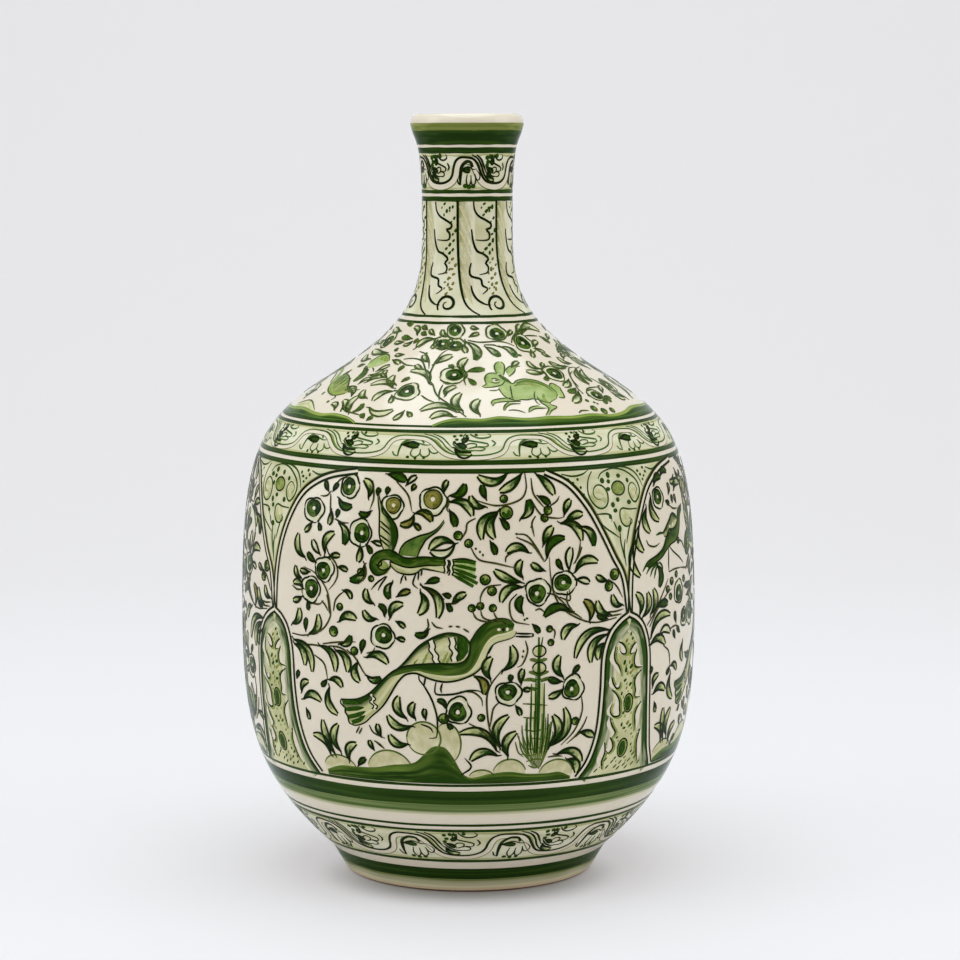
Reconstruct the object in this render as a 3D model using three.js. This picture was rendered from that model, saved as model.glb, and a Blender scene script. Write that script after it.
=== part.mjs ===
// Bottle-shaped faience vase, built as a potter builds one: four thrown sections and a foot ring,
// each a separate piece of clay, luted together with rings of slip in lapped seams.
// Millimetres, +Z up, origin at the centre of the ring that the vase stands on.

import * as THREE from 'three';

// Heights of the turned outline, stacked from the ground up
const FOOT_HEIGHT = 13;
const BELLY_RISE = 114;
const SHOULDER_RISE = 123;
const WAIST_RISE = 76;
const MOUTH_RISE = 48.5;
const LIP_ROUND = 4;

// Outer radii at those heights
const FOOT_RADIUS = 62;
const FOOT_TOP_RADIUS = 69.5;
const BELLY_RADIUS = 113.8;
const SHOULDER_RADIUS = 68;
const WAIST_RADIUS = 22.4;
const LIP_RADIUS = 28.2;

// How the curves leave and meet those rings: slopes in degrees above the horizontal, and the
// length that each curve keeps its direction for, which is what makes it full or slack
const BOWL_SLOPE = 44;
const BOWL_FULLNESS = 47;
const BELLY_FULLNESS_BELOW = 62.5;
const BELLY_FULLNESS_ABOVE = 87;
const SHOULDER_SLOPE = 32;
const SHOULDER_FULLNESS = 44;
const THROAT_FULLNESS = 53.5;
const WAIST_FULLNESS_BELOW = 30;
const WAIST_FULLNESS_ABOVE = 45;
const LIP_SLOPE = 80;
const LIP_FULLNESS = 12;

// Clay thicknesses
const WALL = 5.5;
const FLOOR = 8;
const FLOOR_FILLET = 12;
const FOOT_WIDTH = 12;
const FOOT_EDGE = 1.2;

// Lapped seams: where they lie, and the step that locates one section on the next
const BOWL_SEAM_RISE = 47.5;
const BELT_SEAM_RISE = 87.5;
const NECK_SEAM_RISE = 28.5;
const SLIP = 1;
const TONGUE = 3;
const LAP_CLEARANCE = 0.3;

// Facets: steps round the wheel, and along each curve of the outline
const ROUND_STEPS = 48;
const BOWL_STEPS = 12;
const BELLY_STEPS = 14;
const THROAT_STEPS = 12;
const MOUTH_STEPS = 7;
const LIP_STEPS = 6;
const FILLET_STEPS = 3;

const GLAZED_CLAY = { color: '#e6e0cf', roughness: 0.2, metalness: 0 };
const BARE_CLAY = { color: '#c9a98a', roughness: 0.85, metalness: 0 };

const bellyHeight = FOOT_HEIGHT + BELLY_RISE;
const shoulderHeight = bellyHeight + SHOULDER_RISE;
const waistHeight = shoulderHeight + WAIST_RISE;
const lipHeight = waistHeight + MOUTH_RISE;

const point = (radius, height) => new THREE.Vector2(radius, height);

// A point that lies a given length from another, up or down a slope
function along(start, slopeDegrees, length) {
  const slope = THREE.MathUtils.degToRad(slopeDegrees);
  return point(start.x + length * Math.cos(slope), start.y + length * Math.sin(slope));
}

const footTop = point(FOOT_TOP_RADIUS, FOOT_HEIGHT);
const belly = point(BELLY_RADIUS, bellyHeight);
const shoulder = point(SHOULDER_RADIUS, shoulderHeight);
const waist = point(WAIST_RADIUS, waistHeight);
const lip = point(LIP_RADIUS, lipHeight);

// The wall's outer curves, from the foot to the lip. The shoulder's tangent runs inwards as it rises.
const inwards = 180 - SHOULDER_SLOPE;
const wallCurves = [
  [new THREE.CubicBezierCurve(
    footTop,
    along(footTop, BOWL_SLOPE, BOWL_FULLNESS),
    along(belly, -90, BELLY_FULLNESS_BELOW),
    belly), BOWL_STEPS],
  [new THREE.CubicBezierCurve(
    belly,
    along(belly, 90, BELLY_FULLNESS_ABOVE),
    along(shoulder, inwards, -SHOULDER_FULLNESS),
    shoulder), BELLY_STEPS],
  [new THREE.CubicBezierCurve(
    shoulder,
    along(shoulder, inwards, THROAT_FULLNESS),
    along(waist, -90, WAIST_FULLNESS_BELOW),
    waist), THROAT_STEPS],
  [new THREE.CubicBezierCurve(
    waist,
    along(waist, 90, WAIST_FULLNESS_ABOVE),
    along(lip, LIP_SLOPE, -LIP_FULLNESS),
    lip), MOUTH_STEPS],
];

// The outer outline and the inner one, which lies one wall's thickness in along the normal
const outer = [point(FOOT_RADIUS, 0)];
const inner = [];
for (const [curve, steps] of wallCurves) {
  const firstStep = curve === wallCurves[0][0] ? 0 : 1;
  for (let step = firstStep; step <= steps; step += 1) {
    const place = curve.getPoint(step / steps);
    const tangent = curve.getTangent(step / steps);
    outer.push(place);
    inner.push(point(place.x - WALL * tangent.y, place.y + WALL * tangent.x));
  }
}

// The radius of an outline at a height, and the outline's stretch between two heights
function radiusAt(outline, height) {
  const next = Math.max(1, outline.findIndex((p) => p.y >= height));
  const below = outline[next - 1];
  const above = outline[next];
  return THREE.MathUtils.mapLinear(height, below.y, above.y, below.x, above.x);
}

function stretch(outline, low, high) {
  const inside = outline.filter((p) => p.y > low + LAP_CLEARANCE && p.y < high - LAP_CLEARANCE);
  return [point(radiusAt(outline, low), low), ...inside, point(radiusAt(outline, high), high)];
}

// A lapped seam: the lower section keeps a tongue on its inner half, the upper one steps over it,
// and a ring of slip fills the ledge outside the tongue
function lappedSeam(ledge) {
  const slipTop = ledge + SLIP;
  const ceiling = slipTop + TONGUE;
  const lap = (radiusAt(outer, ledge) + radiusAt(inner, ledge)) / 2;
  return { ledge, slipTop, ceiling, lap, tongueTop: ceiling - LAP_CLEARANCE };
}

const bowlSeam = lappedSeam(FOOT_HEIGHT + BOWL_SEAM_RISE);
const beltSeam = lappedSeam(bellyHeight + BELT_SEAM_RISE);
const neckSeam = lappedSeam(shoulderHeight + NECK_SEAM_RISE);
const footSeam = { ledge: FOOT_HEIGHT - SLIP, slipTop: FOOT_HEIGHT };

const tongueOf = (seam) => [
  point(seam.lap - LAP_CLEARANCE, seam.ledge),
  point(seam.lap - LAP_CLEARANCE, seam.tongueTop),
];
const rebateOf = (seam) => [
  point(seam.lap, seam.ceiling),
  point(seam.lap, seam.slipTop),
];

// One piece turned on the wheel from its outline: up the outside first, then down the inside
function turned(name, outline, finish) {
  const closesOnAxis = outline[0].x === 0;
  const rim = closesOnAxis ? outline : [...outline, outline[0].clone()];
  const geometry = new THREE.LatheGeometry(rim, ROUND_STEPS);
  geometry.rotateX(Math.PI / 2);
  const mesh = new THREE.Mesh(geometry, new THREE.MeshStandardMaterial(finish));
  mesh.name = name;
  return mesh;
}

// The foot ring: flared outside, hollow inside, with its standing edges eased
function footRing() {
  const bore = FOOT_RADIUS - FOOT_WIDTH;
  const outline = [
    point(bore + FOOT_EDGE, 0),
    point(FOOT_RADIUS - FOOT_EDGE, 0),
    point(radiusAt(outer, FOOT_EDGE), FOOT_EDGE),
    point(radiusAt(outer, footSeam.ledge), footSeam.ledge),
    point(bore, footSeam.ledge),
    point(bore, FOOT_EDGE),
  ];
  return turned('foot_ring', outline, GLAZED_CLAY);
}

// The base bowl: a flat underside on the foot ring, the flaring wall and a floor with a soft corner
function baseBowl() {
  const floorTop = FOOT_HEIGHT + FLOOR;
  const corner = point(radiusAt(inner, floorTop), floorTop);
  const filletTop = floorTop + FLOOR_FILLET;
  const fillet = new THREE.QuadraticBezierCurve(
    point(radiusAt(inner, filletTop), filletTop),
    corner,
    point(corner.x - FLOOR_FILLET, floorTop));
  const outline = [
    point(0, FOOT_HEIGHT),
    ...stretch(outer, FOOT_HEIGHT, bowlSeam.ledge),
    ...tongueOf(bowlSeam),
    ...stretch(inner, filletTop, bowlSeam.tongueTop).reverse(),
    ...fillet.getPoints(FILLET_STEPS).slice(1),
    point(0, floorTop),
  ];
  return turned('base_bowl', outline, GLAZED_CLAY);
}

// A ring of wall between two lapped seams
function wallRing(name, below, above) {
  const outline = [
    ...rebateOf(below),
    ...stretch(outer, below.slipTop, above.ledge),
    ...tongueOf(above),
    ...stretch(inner, below.ceiling, above.tongueTop).reverse(),
  ];
  return turned(name, outline, GLAZED_CLAY);
}

// The neck: the throat, the waist and the mouth, with its lip rolled over from wall to wall
function neck() {
  const lipInside = inner[inner.length - 1];
  const middle = lip.clone().add(lipInside).multiplyScalar(0.5);
  const half = lip.clone().sub(middle);
  const roll = [];
  for (let step = 1; step < LIP_STEPS; step += 1) {
    const turn = Math.PI * step / LIP_STEPS;
    roll.push(point(
      middle.x + half.x * Math.cos(turn),
      middle.y + half.y * Math.cos(turn) + LIP_ROUND * Math.sin(turn)));
  }
  const outline = [
    ...rebateOf(neckSeam),
    ...stretch(outer, neckSeam.slipTop, lip.y),
    ...roll,
    ...stretch(inner, neckSeam.ceiling, lipInside.y).reverse(),
  ];
  return turned('neck', outline, GLAZED_CLAY);
}

// A ring of slip in a seam, from the lap, or the foot ring's bore, out to the wall's surface
function slipRing(name, seam, bore) {
  const outline = [
    point(bore, seam.ledge),
    ...stretch(outer, seam.ledge, seam.slipTop),
    point(bore, seam.slipTop),
  ];
  return turned(name, outline, BARE_CLAY);
}

const vase = new THREE.Group();
vase.add(
  footRing(),
  slipRing('foot_slip', footSeam, FOOT_RADIUS - FOOT_WIDTH),
  baseBowl(),
  slipRing('bowl_slip', bowlSeam, bowlSeam.lap),
  wallRing('belly_wall', bowlSeam, beltSeam),
  slipRing('belt_slip', beltSeam, beltSeam.lap),
  wallRing('shoulder', beltSeam, neckSeam),
  slipRing('neck_slip', neckSeam, neckSeam.lap),
  neck(),
);

export default vase;
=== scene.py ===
# %% [markdown]
# # A painted faience bottle vase
# The vase is thrown in sections, joined with slip, dipped in a cream tin glaze, painted by hand in
# one green pigment and fired once more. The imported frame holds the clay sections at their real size.
# This lesson dresses them: first the glazed skin of each section, then the brushwork, stroke by stroke.

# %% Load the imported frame
import math

import bpy
import numpy as np
from mathutils import Matrix, Vector


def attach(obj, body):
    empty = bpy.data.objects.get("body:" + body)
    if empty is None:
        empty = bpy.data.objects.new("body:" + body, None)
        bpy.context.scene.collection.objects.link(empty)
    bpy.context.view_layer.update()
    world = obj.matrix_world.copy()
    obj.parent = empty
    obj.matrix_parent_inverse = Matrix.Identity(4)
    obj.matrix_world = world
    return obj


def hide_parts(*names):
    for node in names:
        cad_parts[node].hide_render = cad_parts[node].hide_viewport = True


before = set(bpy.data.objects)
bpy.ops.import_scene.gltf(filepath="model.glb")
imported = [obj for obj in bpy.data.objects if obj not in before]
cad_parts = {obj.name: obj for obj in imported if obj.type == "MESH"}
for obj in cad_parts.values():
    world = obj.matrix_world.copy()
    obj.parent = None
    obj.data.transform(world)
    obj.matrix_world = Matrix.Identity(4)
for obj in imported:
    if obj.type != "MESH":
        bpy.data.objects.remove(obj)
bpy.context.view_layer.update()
bpy.ops.object.select_all(action="DESELECT")
MM = 0.001
SMOOTH_ANGLE = math.radians(35)
print("CAD nodes:", ", ".join(sorted(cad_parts)))

# %% [markdown]
# ## Camera
# The vase was photographed with a long lens from about the height of its lip, a metre and a half away.
# A long lens keeps the near and far rims of the bands almost parallel. The vase stands a little left
# of the middle of the picture, which a small lens shift gives without turning the camera.

# %% Place the camera
CAMERA_DISTANCE = 1.518
CAMERA_HEIGHT = 0.368
CAMERA_PITCH = math.radians(6.46)
CAMERA_ROLL = -0.0028
LENS = 113.9
SHIFT = 0.0125

bpy.ops.object.camera_add(location=(0, -CAMERA_DISTANCE, CAMERA_HEIGHT))
camera = bpy.context.object
tilt = Matrix.Rotation(math.pi / 2 - CAMERA_PITCH, 4, "X") @ Matrix.Rotation(CAMERA_ROLL, 4, "Z")
camera.rotation_euler = tilt.to_euler()
camera.data.lens = LENS
camera.data.sensor_width = 36
camera.data.shift_x = SHIFT
bpy.context.scene.camera = camera
bpy.context.scene.view_settings.view_transform = "Standard"
print("camera at", tuple(round(value, 3) for value in camera.location))

# %% [markdown]
# ## Materials
# Every finish is a small node tree. One function writes a hex colour as the linear values that
# shader sockets take, and one adds a node with its settings and its links. Two more add the nodes that
# every finish needs: a noise and a mix of two colours. Patterns are scaled from real sizes: a noise of
# scale 1 / size has blobs of about that size.

# %% Colour and node helpers
def linear(hex_colour):
    """An sRGB hex colour as linear RGBA."""
    channels = [int(hex_colour[start:start + 2], 16) / 255 for start in (1, 3, 5)]
    return [c / 12.92 if c <= 0.04045 else ((c + 0.055) / 1.055) ** 2.4 for c in channels] + [1.0]


def add_node(tree, kind, inputs=None, **settings):
    """Adds a node, sets its properties, and sets or links its input sockets."""
    node = tree.nodes.new(kind)
    for name, value in settings.items():
        setattr(node, name, value)
    for socket, value in (inputs or {}).items():
        if isinstance(value, bpy.types.NodeSocket):
            tree.links.new(value, node.inputs[socket])
        else:
            node.inputs[socket].default_value = value
    return node


def add_noise(tree, place, size, detail):
    """A noise with blobs of about a size."""
    return add_node(tree, "ShaderNodeTexNoise", {
        "Vector": place, "Scale": 1 / size, "Detail": detail}).outputs["Fac"]


MIX_A = 6
MIX_B = 7
MIX_RESULT = 2


def add_mix(tree, share, first, second):
    """A colour between two, each of them a hex colour or another node's output."""
    ends = [linear(end) if isinstance(end, str) else end for end in (first, second)]
    return add_node(tree, "ShaderNodeMix", {
        0: share, MIX_A: ends[0], MIX_B: ends[1]}, data_type="RGBA").outputs[MIX_RESULT]


def new_material(name):
    """An empty node material with its Principled shader."""
    material = bpy.data.materials.new(name)
    material.use_nodes = True
    return material, material.node_tree, material.node_tree.nodes["Principled BSDF"]


# %% [markdown]
# ### Tin glaze
# Tin glaze is an opaque cream glass that melts smooth over the clay. It is glossy, its tone drifts a
# little from place to place in the kiln, it holds a few pinholes, and the wheel leaves slow ripples
# that break up its reflections. Three noises give these, the ripples as a weak bump.

# %% Make the cream glaze
TONE_DRIFT_SIZE = 0.045
RIPPLE_SIZE = 0.011
PINHOLE_SIZE = 0.0016


def tin_glaze():
    """Opaque cream tin glaze: glossy, with a slow drift of tone, ripples and fine pinholes."""
    material, tree, shader = new_material("cream_tin_glaze")
    place = add_node(tree, "ShaderNodeTexCoord").outputs["Object"]
    drift = add_noise(tree, place, TONE_DRIFT_SIZE, 3)
    tone = add_mix(tree, drift, "#e7dac9", "#dfcfbb")
    pinholes = add_noise(tree, place, PINHOLE_SIZE, 1)
    specks = add_node(tree, "ShaderNodeMapRange", {
        "Value": pinholes, "From Min": 0.68, "From Max": 0.8, "To Max": 0.25})
    speckled = add_mix(tree, specks.outputs["Result"], tone, "#c9b294")
    ripples = add_noise(tree, place, RIPPLE_SIZE, 1)
    bump = add_node(tree, "ShaderNodeBump", {"Height": ripples, "Strength": 0.10, "Distance": 0.002})
    gloss = add_node(tree, "ShaderNodeMapRange", {"Value": drift, "To Min": 0.10, "To Max": 0.18})
    tree.links.new(speckled, shader.inputs["Base Color"])
    tree.links.new(gloss.outputs["Result"], shader.inputs["Roughness"])
    tree.links.new(bump.outputs["Normal"], shader.inputs["Normal"])
    shader.inputs["IOR"].default_value = 1.5
    return material


GLAZE = tin_glaze()
print("made", GLAZE.name)

# %% [markdown]
# ### Bare clay
# The foot is wiped free of glaze, so that it does not stick to the kiln shelf, and shows the fired
# clay: matt buff, with grit about half a millimetre across, and red-brown over its lowest millimetre.

# %% Make the fired clay
GRIT_SIZE = 0.0006
RED_BROWN_EDGE = 0.0011


def fired_clay():
    """Unglazed buff clay: matt and gritty, red at the edge that it stands on."""
    material, tree, shader = new_material("bare_buff_clay")
    place = add_node(tree, "ShaderNodeTexCoord").outputs["Object"]
    grit = add_noise(tree, place, GRIT_SIZE, 3)
    colour = add_mix(tree, grit, "#d2bd9c", "#e4d2b4")
    height = add_node(tree, "ShaderNodeSeparateXYZ", {0: place}).outputs["Z"]
    # Red-brown over the lowest millimetre of the foot, fading to buff above it
    edge = add_node(tree, "ShaderNodeMapRange", {
        "Value": height, "From Min": RED_BROWN_EDGE, "From Max": 0.6 * RED_BROWN_EDGE})
    red_edged = add_mix(tree, edge.outputs["Result"], colour, "#7d4a2e")
    bump = add_node(tree, "ShaderNodeBump", {"Height": grit, "Strength": 0.4, "Distance": 0.0003})
    tree.links.new(red_edged, shader.inputs["Base Color"])
    tree.links.new(bump.outputs["Normal"], shader.inputs["Normal"])
    shader.inputs["Roughness"].default_value = 0.8
    return material


CLAY = fired_clay()
print("made", CLAY.name)

# %% [markdown]
# ### Green pigments
# The painter has one copper green and thins it with water: a near-black outline, a deep green, a
# leaf green, a pale wash, and a warm olive where the pigment ran thin over the glaze. A loaded brush
# also leaves strokes that change on their way: dark where it lands and pale where it lifts, or dark
# along one edge. So the colour reads the stroke's own UV map: U runs across the stroke and V along it.
# Each pigment has its own lanes of that map, so strokes differ and still share one small map.

# %% Make the pigments
# Name: thin colour, heavy colour, height over the glaze in millimetres, how loaded the brush is, how
# much of the load is lost along the stroke, how much across it, and how strong the streaks are
PIGMENTS = {
    "wash": ("#dad4b6", "#aeac78", 0.05, 0.26, 0.2, 0.0, 0.9),
    "veil": ("#e3ddc6", "#c2bc8f", 0.05, 0.30, 0.2, 0.0, 0.9),
    "mist": ("#e0d9c0", "#989559", 0.07, 0.34, 0.2, 1.2, 0.7),
    "pool": ("#d4cda4", "#8d904a", 0.06, 0.32, 0.3, -0.6, 0.6),
    "stone": ("#dbd1b0", "#a9a36c", 0.07, 0.36, 0.0, 0.6, 0.6),
    "moss": ("#8b9460", "#45602a", 0.095, 0.52, 0.3, 0.0, 1.0),
    "fur": ("#bcc48a", "#769441", 0.07, 0.50, 0.0, 0.7, 0.6),
    "meadow": ("#a3ab58", "#527a24", 0.10, 0.45, 0.3, 0.0, 0.9),
    "leaf": ("#a8ab64", "#4c6a1a", 0.08, 0.50, 0.4, 0.2, 0.8),
    "verge": ("#d6d0ae", "#2b4b0c", 0.08, 0.66, 0.0, 1.5, 0.9),
    "olive": ("#a0964e", "#4f4e0e", 0.09, 0.60, 0.4, 0.2, 0.7),
    "fading": ("#dcd3b6", "#5a6a22", 0.09, 0.50, 0.0, 1.4, 0.4),
    "hill": ("#748a38", "#1f3c04", 0.09, 0.78, 0.0, -0.7, 0.8),
    "stem": ("#6d7b38", "#27420a", 0.10, 0.55, 0.3, 0.0, 0.9),
    "band": ("#46621c", "#1a3206", 0.10, 0.76, 0.3, 0.0, 0.6),
    "sage": ("#74883f", "#37551a", 0.095, 0.55, 0.3, 0.0, 0.9),
    "plume": ("#c2be8c", "#1d3a02", 0.10, 0.54, 0.1, 2.0, 0.6),
    "coat": ("#6f8434", "#1d3a02", 0.105, 0.82, 0.1, 0.6, 0.6),
    "shade": ("#c3c48a", "#1b4202", 0.11, 0.70, 2.2, 0.8, 0.8),
    "pale_shade": ("#d6d2b0", "#2b4f10", 0.11, 0.54, 2.2, 0.8, 0.7),
    "deep": ("#3a5e0e", "#132d00", 0.12, 0.62, 0.4, 0.0, 0.8),
    "pale_deep": ("#5c7e34", "#284610", 0.12, 0.60, 0.4, 0.0, 0.8),
    "bloom": ("#5f7d2c", "#122a00", 0.12, 0.84, 0.9, 0.0, 1.1),
    "rim": ("#959856", "#616c2c", 0.095, 0.50, 0.2, -0.5, 0.9),
    "reserve": ("#e3d7c4", "#d9ccb6", 0.14, 0.50, 0.0, 0.0, 0.5),
    "vine": ("#6c692a", "#0d1804", 0.155, 0.74, 0.3, 0.0, 1.3),
    "outline": ("#34470f", "#081500", 0.16, 0.88, 0.3, 0.0, 0.8),
    "pale_outline": ("#75803e", "#203809", 0.16, 0.72, 0.3, 0.0, 1.2),
}
# Paler copies of the dark pigments, which the shoulder painting takes in their place
PALER_COPIES = {"shade": "pale_shade", "deep": "pale_deep", "outline": "pale_outline", "vine": "pale_outline"}
LANES = 4
LANE_COUNT = LANES * len(PIGMENTS)
LANE_INSET = 0.08
STREAKS_ACROSS = 3.5
STREAKS_ALONG = 5
UV_NAME = "OFBake"
PIGMENT_NAMES = list(PIGMENTS)


def pigment_material(name):
    """Fired-in pigment under a clear gloss, streaked along the brush stroke."""
    thin, heavy, _, loaded, along, across, streaky = PIGMENTS[name]
    material, tree, shader = new_material(name + "_green_pigment")
    stroke = add_node(tree, "ShaderNodeUVMap", uv_map=UV_NAME).outputs["UV"]
    axes = add_node(tree, "ShaderNodeSeparateXYZ", {0: stroke})
    lanes = add_node(tree, "ShaderNodeMath", {0: axes.outputs["X"], 1: LANE_COUNT}, operation="MULTIPLY")
    sideways = add_node(tree, "ShaderNodeMath", {0: lanes.outputs[0]}, operation="FRACT")
    stretched = add_node(tree, "ShaderNodeVectorMath", {
        0: stroke, 1: (LANE_COUNT * STREAKS_ACROSS, STREAKS_ALONG, 0)}, operation="MULTIPLY")
    noise = add_noise(tree, stretched.outputs[0], 1, 2)
    streaks = add_node(tree, "ShaderNodeMapRange", {
        "Value": noise, "From Min": 0.3, "From Max": 0.7,
        "To Min": loaded + (along + across - streaky) / 2,
        "To Max": loaded + (along + across + streaky) / 2})
    lengthways = add_node(tree, "ShaderNodeMath", {
        0: axes.outputs["Y"], 1: -along, 2: streaks.outputs["Result"]}, operation="MULTIPLY_ADD")
    load = add_node(tree, "ShaderNodeMath", {
        0: sideways.outputs[0], 1: -across, 2: lengthways.outputs[0]}, operation="MULTIPLY_ADD",
        use_clamp=True)
    tree.links.new(add_mix(tree, load.outputs[0], thin, heavy), shader.inputs["Base Color"])
    shader.inputs["Roughness"].default_value = 0.15
    shader.inputs["Specular IOR Level"].default_value = 0.05
    return material


PIGMENT_MATERIALS = [pigment_material(name) for name in PIGMENT_NAMES]
print("made pigments:", ", ".join(PIGMENT_NAMES))

# %% [markdown]
# ## The turned wall
# Everything sits on one turned outline: four curves that meet smoothly at the belly, the shoulder and
# the waist, over a short flared foot. Cubic curves hold their direction for a stated length at each
# end, which is how a potter's rib makes a curve full or slack. Lengths are in millimetres here.

# %% Work out the outline
FOOT = (62, 0)
FOOT_TOP = (69.5, 13)
BELLY = (113.8, 127)
SHOULDER = (68, 250)
WAIST = (22.4, 326)
LIP = (28.2, 374.5)
WALL = 5.5
CURVE_STEPS = 40


def away(start, slope, length):
    """The point a length away from another, up a slope in degrees."""
    turn = math.radians(slope)
    return start[0] + length * math.cos(turn), start[1] + length * math.sin(turn)


def cubic(start, leave, arrive, end):
    """Points along a cubic curve, without its first point."""
    t = np.linspace(0, 1, CURVE_STEPS + 1)[1:, None]
    blend = [(1 - t) ** 3, 3 * t * (1 - t) ** 2, 3 * t ** 2 * (1 - t), t ** 3]
    return sum(weight * np.array(corner) for weight, corner in zip(blend, (start, leave, arrive, end)))


outline = np.vstack([
    [FOOT, away(FOOT, 60, 7.5), FOOT_TOP],
    cubic(FOOT_TOP, away(FOOT_TOP, 44, 47), away(BELLY, -90, 62.5), BELLY),
    cubic(BELLY, away(BELLY, 90, 87), away(SHOULDER, 148, -44), SHOULDER),
    cubic(SHOULDER, away(SHOULDER, 148, 53.5), away(WAIST, -90, 30), WAIST),
    cubic(WAIST, away(WAIST, 90, 45), away(LIP, 80, -12), LIP)])
steps = np.diff(outline, axis=0)
ARC = np.concatenate([[0], np.cumsum(np.hypot(*steps.T))])
tangents = np.gradient(outline, ARC, axis=0)
tangents /= np.linalg.norm(tangents, axis=1)[:, None]
OUT = np.column_stack([tangents[:, 1], -tangents[:, 0]])


def radius_at(arc):
    return np.interp(arc, ARC, outline[:, 0])


def arc_at(height):
    return np.interp(height, outline[:, 1], ARC)


def profile(arc, lift):
    """Radius and height at a distance along the outline, moved out by lift."""
    radius = radius_at(arc) + lift * np.interp(arc, ARC, OUT[:, 0])
    height = np.interp(arc, ARC, outline[:, 1]) + lift * np.interp(arc, ARC, OUT[:, 1])
    return radius, height


def on_wall(angle, arc, lift):
    """Points in metres on the wall: angle from the front in radians, arc and lift in millimetres."""
    radius, height = profile(arc, lift)
    return MM * np.stack([radius * np.sin(angle), -radius * np.cos(angle), height], axis=-1)


print("wall is", round(ARC[-1], 1), "mm from foot to lip along its curve")

# %% [markdown]
# ## Glazed sections
# Each clay section becomes one smooth glazed ring. It is made as on the wheel: a circle primitive
# gives one vertex for each point of the section's outline, the vertices are laid on the outline, and
# Spin turns it once round the axis. Spin leaves a double seam, so doubles are merged and the normals
# recalculated. The seams between sections are glazed over, so each section takes its slip ring in.

# %% Turn a section from its outline
TURN_STEPS = 240


def turned_section(name, points, replaced):
    """A closed ring turned from an outline of (radius, height) points in millimetres."""
    bpy.ops.object.select_all(action="DESELECT")
    bpy.ops.mesh.primitive_circle_add(vertices=len(points), radius=0.1)
    section = bpy.context.object
    section.name = name
    for vertex, (radius, height) in zip(section.data.vertices, points):
        vertex.co = (radius * MM, 0, height * MM)
    bpy.ops.object.mode_set(mode="EDIT")
    bpy.ops.mesh.select_all(action="SELECT")
    bpy.ops.mesh.spin(steps=TURN_STEPS, angle=2 * math.pi, center=(0, 0, 0), axis=(0, 0, 1))
    bpy.ops.mesh.select_all(action="SELECT")
    bpy.ops.mesh.remove_doubles(threshold=1e-6)
    bpy.ops.mesh.delete_loose()
    bpy.ops.mesh.select_all(action="SELECT")
    bpy.ops.mesh.normals_make_consistent(inside=False)
    bpy.ops.object.mode_set(mode="OBJECT")
    bpy.ops.object.shade_smooth_by_angle(angle=SMOOTH_ANGLE)
    section.data.materials.append(GLAZE)
    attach(section, "root")
    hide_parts(*replaced)
    print(name, "has", len(section.data.polygons), "faces")
    return section


def wall_between(low, high, lift=0.0):
    """The outline's points from one height of the outer wall to another, moved out by lift."""
    low_arc, high_arc = arc_at(low), arc_at(high)
    inside = ARC[(ARC > low_arc + 0.5) & (ARC < high_arc - 0.5)]
    arcs = np.concatenate([[low_arc], inside, [high_arc]])
    return list(zip(*profile(arcs, lift)))


def wall_ring(name, low, high, replaced):
    """A section of plain wall between two seams."""
    inner = wall_between(low, high, -WALL)[::-2]
    turned_section(name, wall_between(low, high) + inner, replaced)


# %% Turn the belly wall and the shoulder
BOWL_SEAM = 60.5
BELT_SEAM = 214.5
NECK_SEAM = 278.5
wall_ring("glazed_belly_wall", BOWL_SEAM, BELT_SEAM, ["belly_wall", "bowl_slip"])
wall_ring("glazed_shoulder", BELT_SEAM, NECK_SEAM, ["shoulder", "belt_slip"])

# %% [markdown]
# The neck ends in a lip that the potter's fingers roll over from the outer wall to the inner one.
# Half an ellipse between the two walls gives that roll.

# %% Turn the neck
LIP_ROUND = 4
LIP_STEPS = 14
neck_outside = wall_between(NECK_SEAM, LIP[1])
neck_inside = wall_between(NECK_SEAM, LIP[1], -WALL)
lip_out = np.array(neck_outside[-1])
lip_in = np.array(neck_inside[-1])
lip_turns = np.linspace(0, math.pi, LIP_STEPS + 1)[1:-1]
lip_middle = (lip_out + lip_in) / 2
lip_reach = (lip_out - lip_in) / 2
lip_roll = [
    tuple(lip_middle + lip_reach * math.cos(turn) + np.array([0, LIP_ROUND * math.sin(turn)]))
    for turn in lip_turns]
turned_section("glazed_neck", neck_outside + lip_roll + neck_inside[::-2], ["neck", "neck_slip"])

# %% [markdown]
# The base bowl closes the vase below: a flat underside, the flaring wall, and a floor that meets the
# wall in a soft corner. Its outline starts and ends on the axis. The foot ring below it is a separate
# ring of clay whose lower edge is wiped bare.

# %% Turn the base bowl and the foot ring
FLOOR_TOP = 21
FLOOR_CORNER = 12
FOOT_BORE = 50
FOOT_SEAM = 12
FOOT_EDGE = 1.2
CORNER_STEPS = 6
BARE_CLAY_TOP = 4.8

bowl_inside = wall_between(FLOOR_TOP + FLOOR_CORNER, BOWL_SEAM, -WALL)[::-2]
corner_start = np.array(bowl_inside[-1])
corner_point = np.array([corner_start[0] - FLOOR_CORNER, FLOOR_TOP])
corner_end = corner_point - np.array([FLOOR_CORNER, 0])
corner = [
    tuple((1 - t) ** 2 * corner_start + 2 * t * (1 - t) * corner_point + t ** 2 * corner_end)
    for t in np.linspace(0, 1, CORNER_STEPS + 1)[1:]]
turned_section(
    "glazed_base_bowl",
    [(0, FOOT_TOP[1]), (FOOT_BORE, FOOT_TOP[1]), (FOOT_BORE, FOOT_SEAM)]
    + wall_between(FOOT_SEAM, BOWL_SEAM) + bowl_inside + corner + [(0, FLOOR_TOP)],
    ["base_bowl", "foot_slip"])

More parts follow.
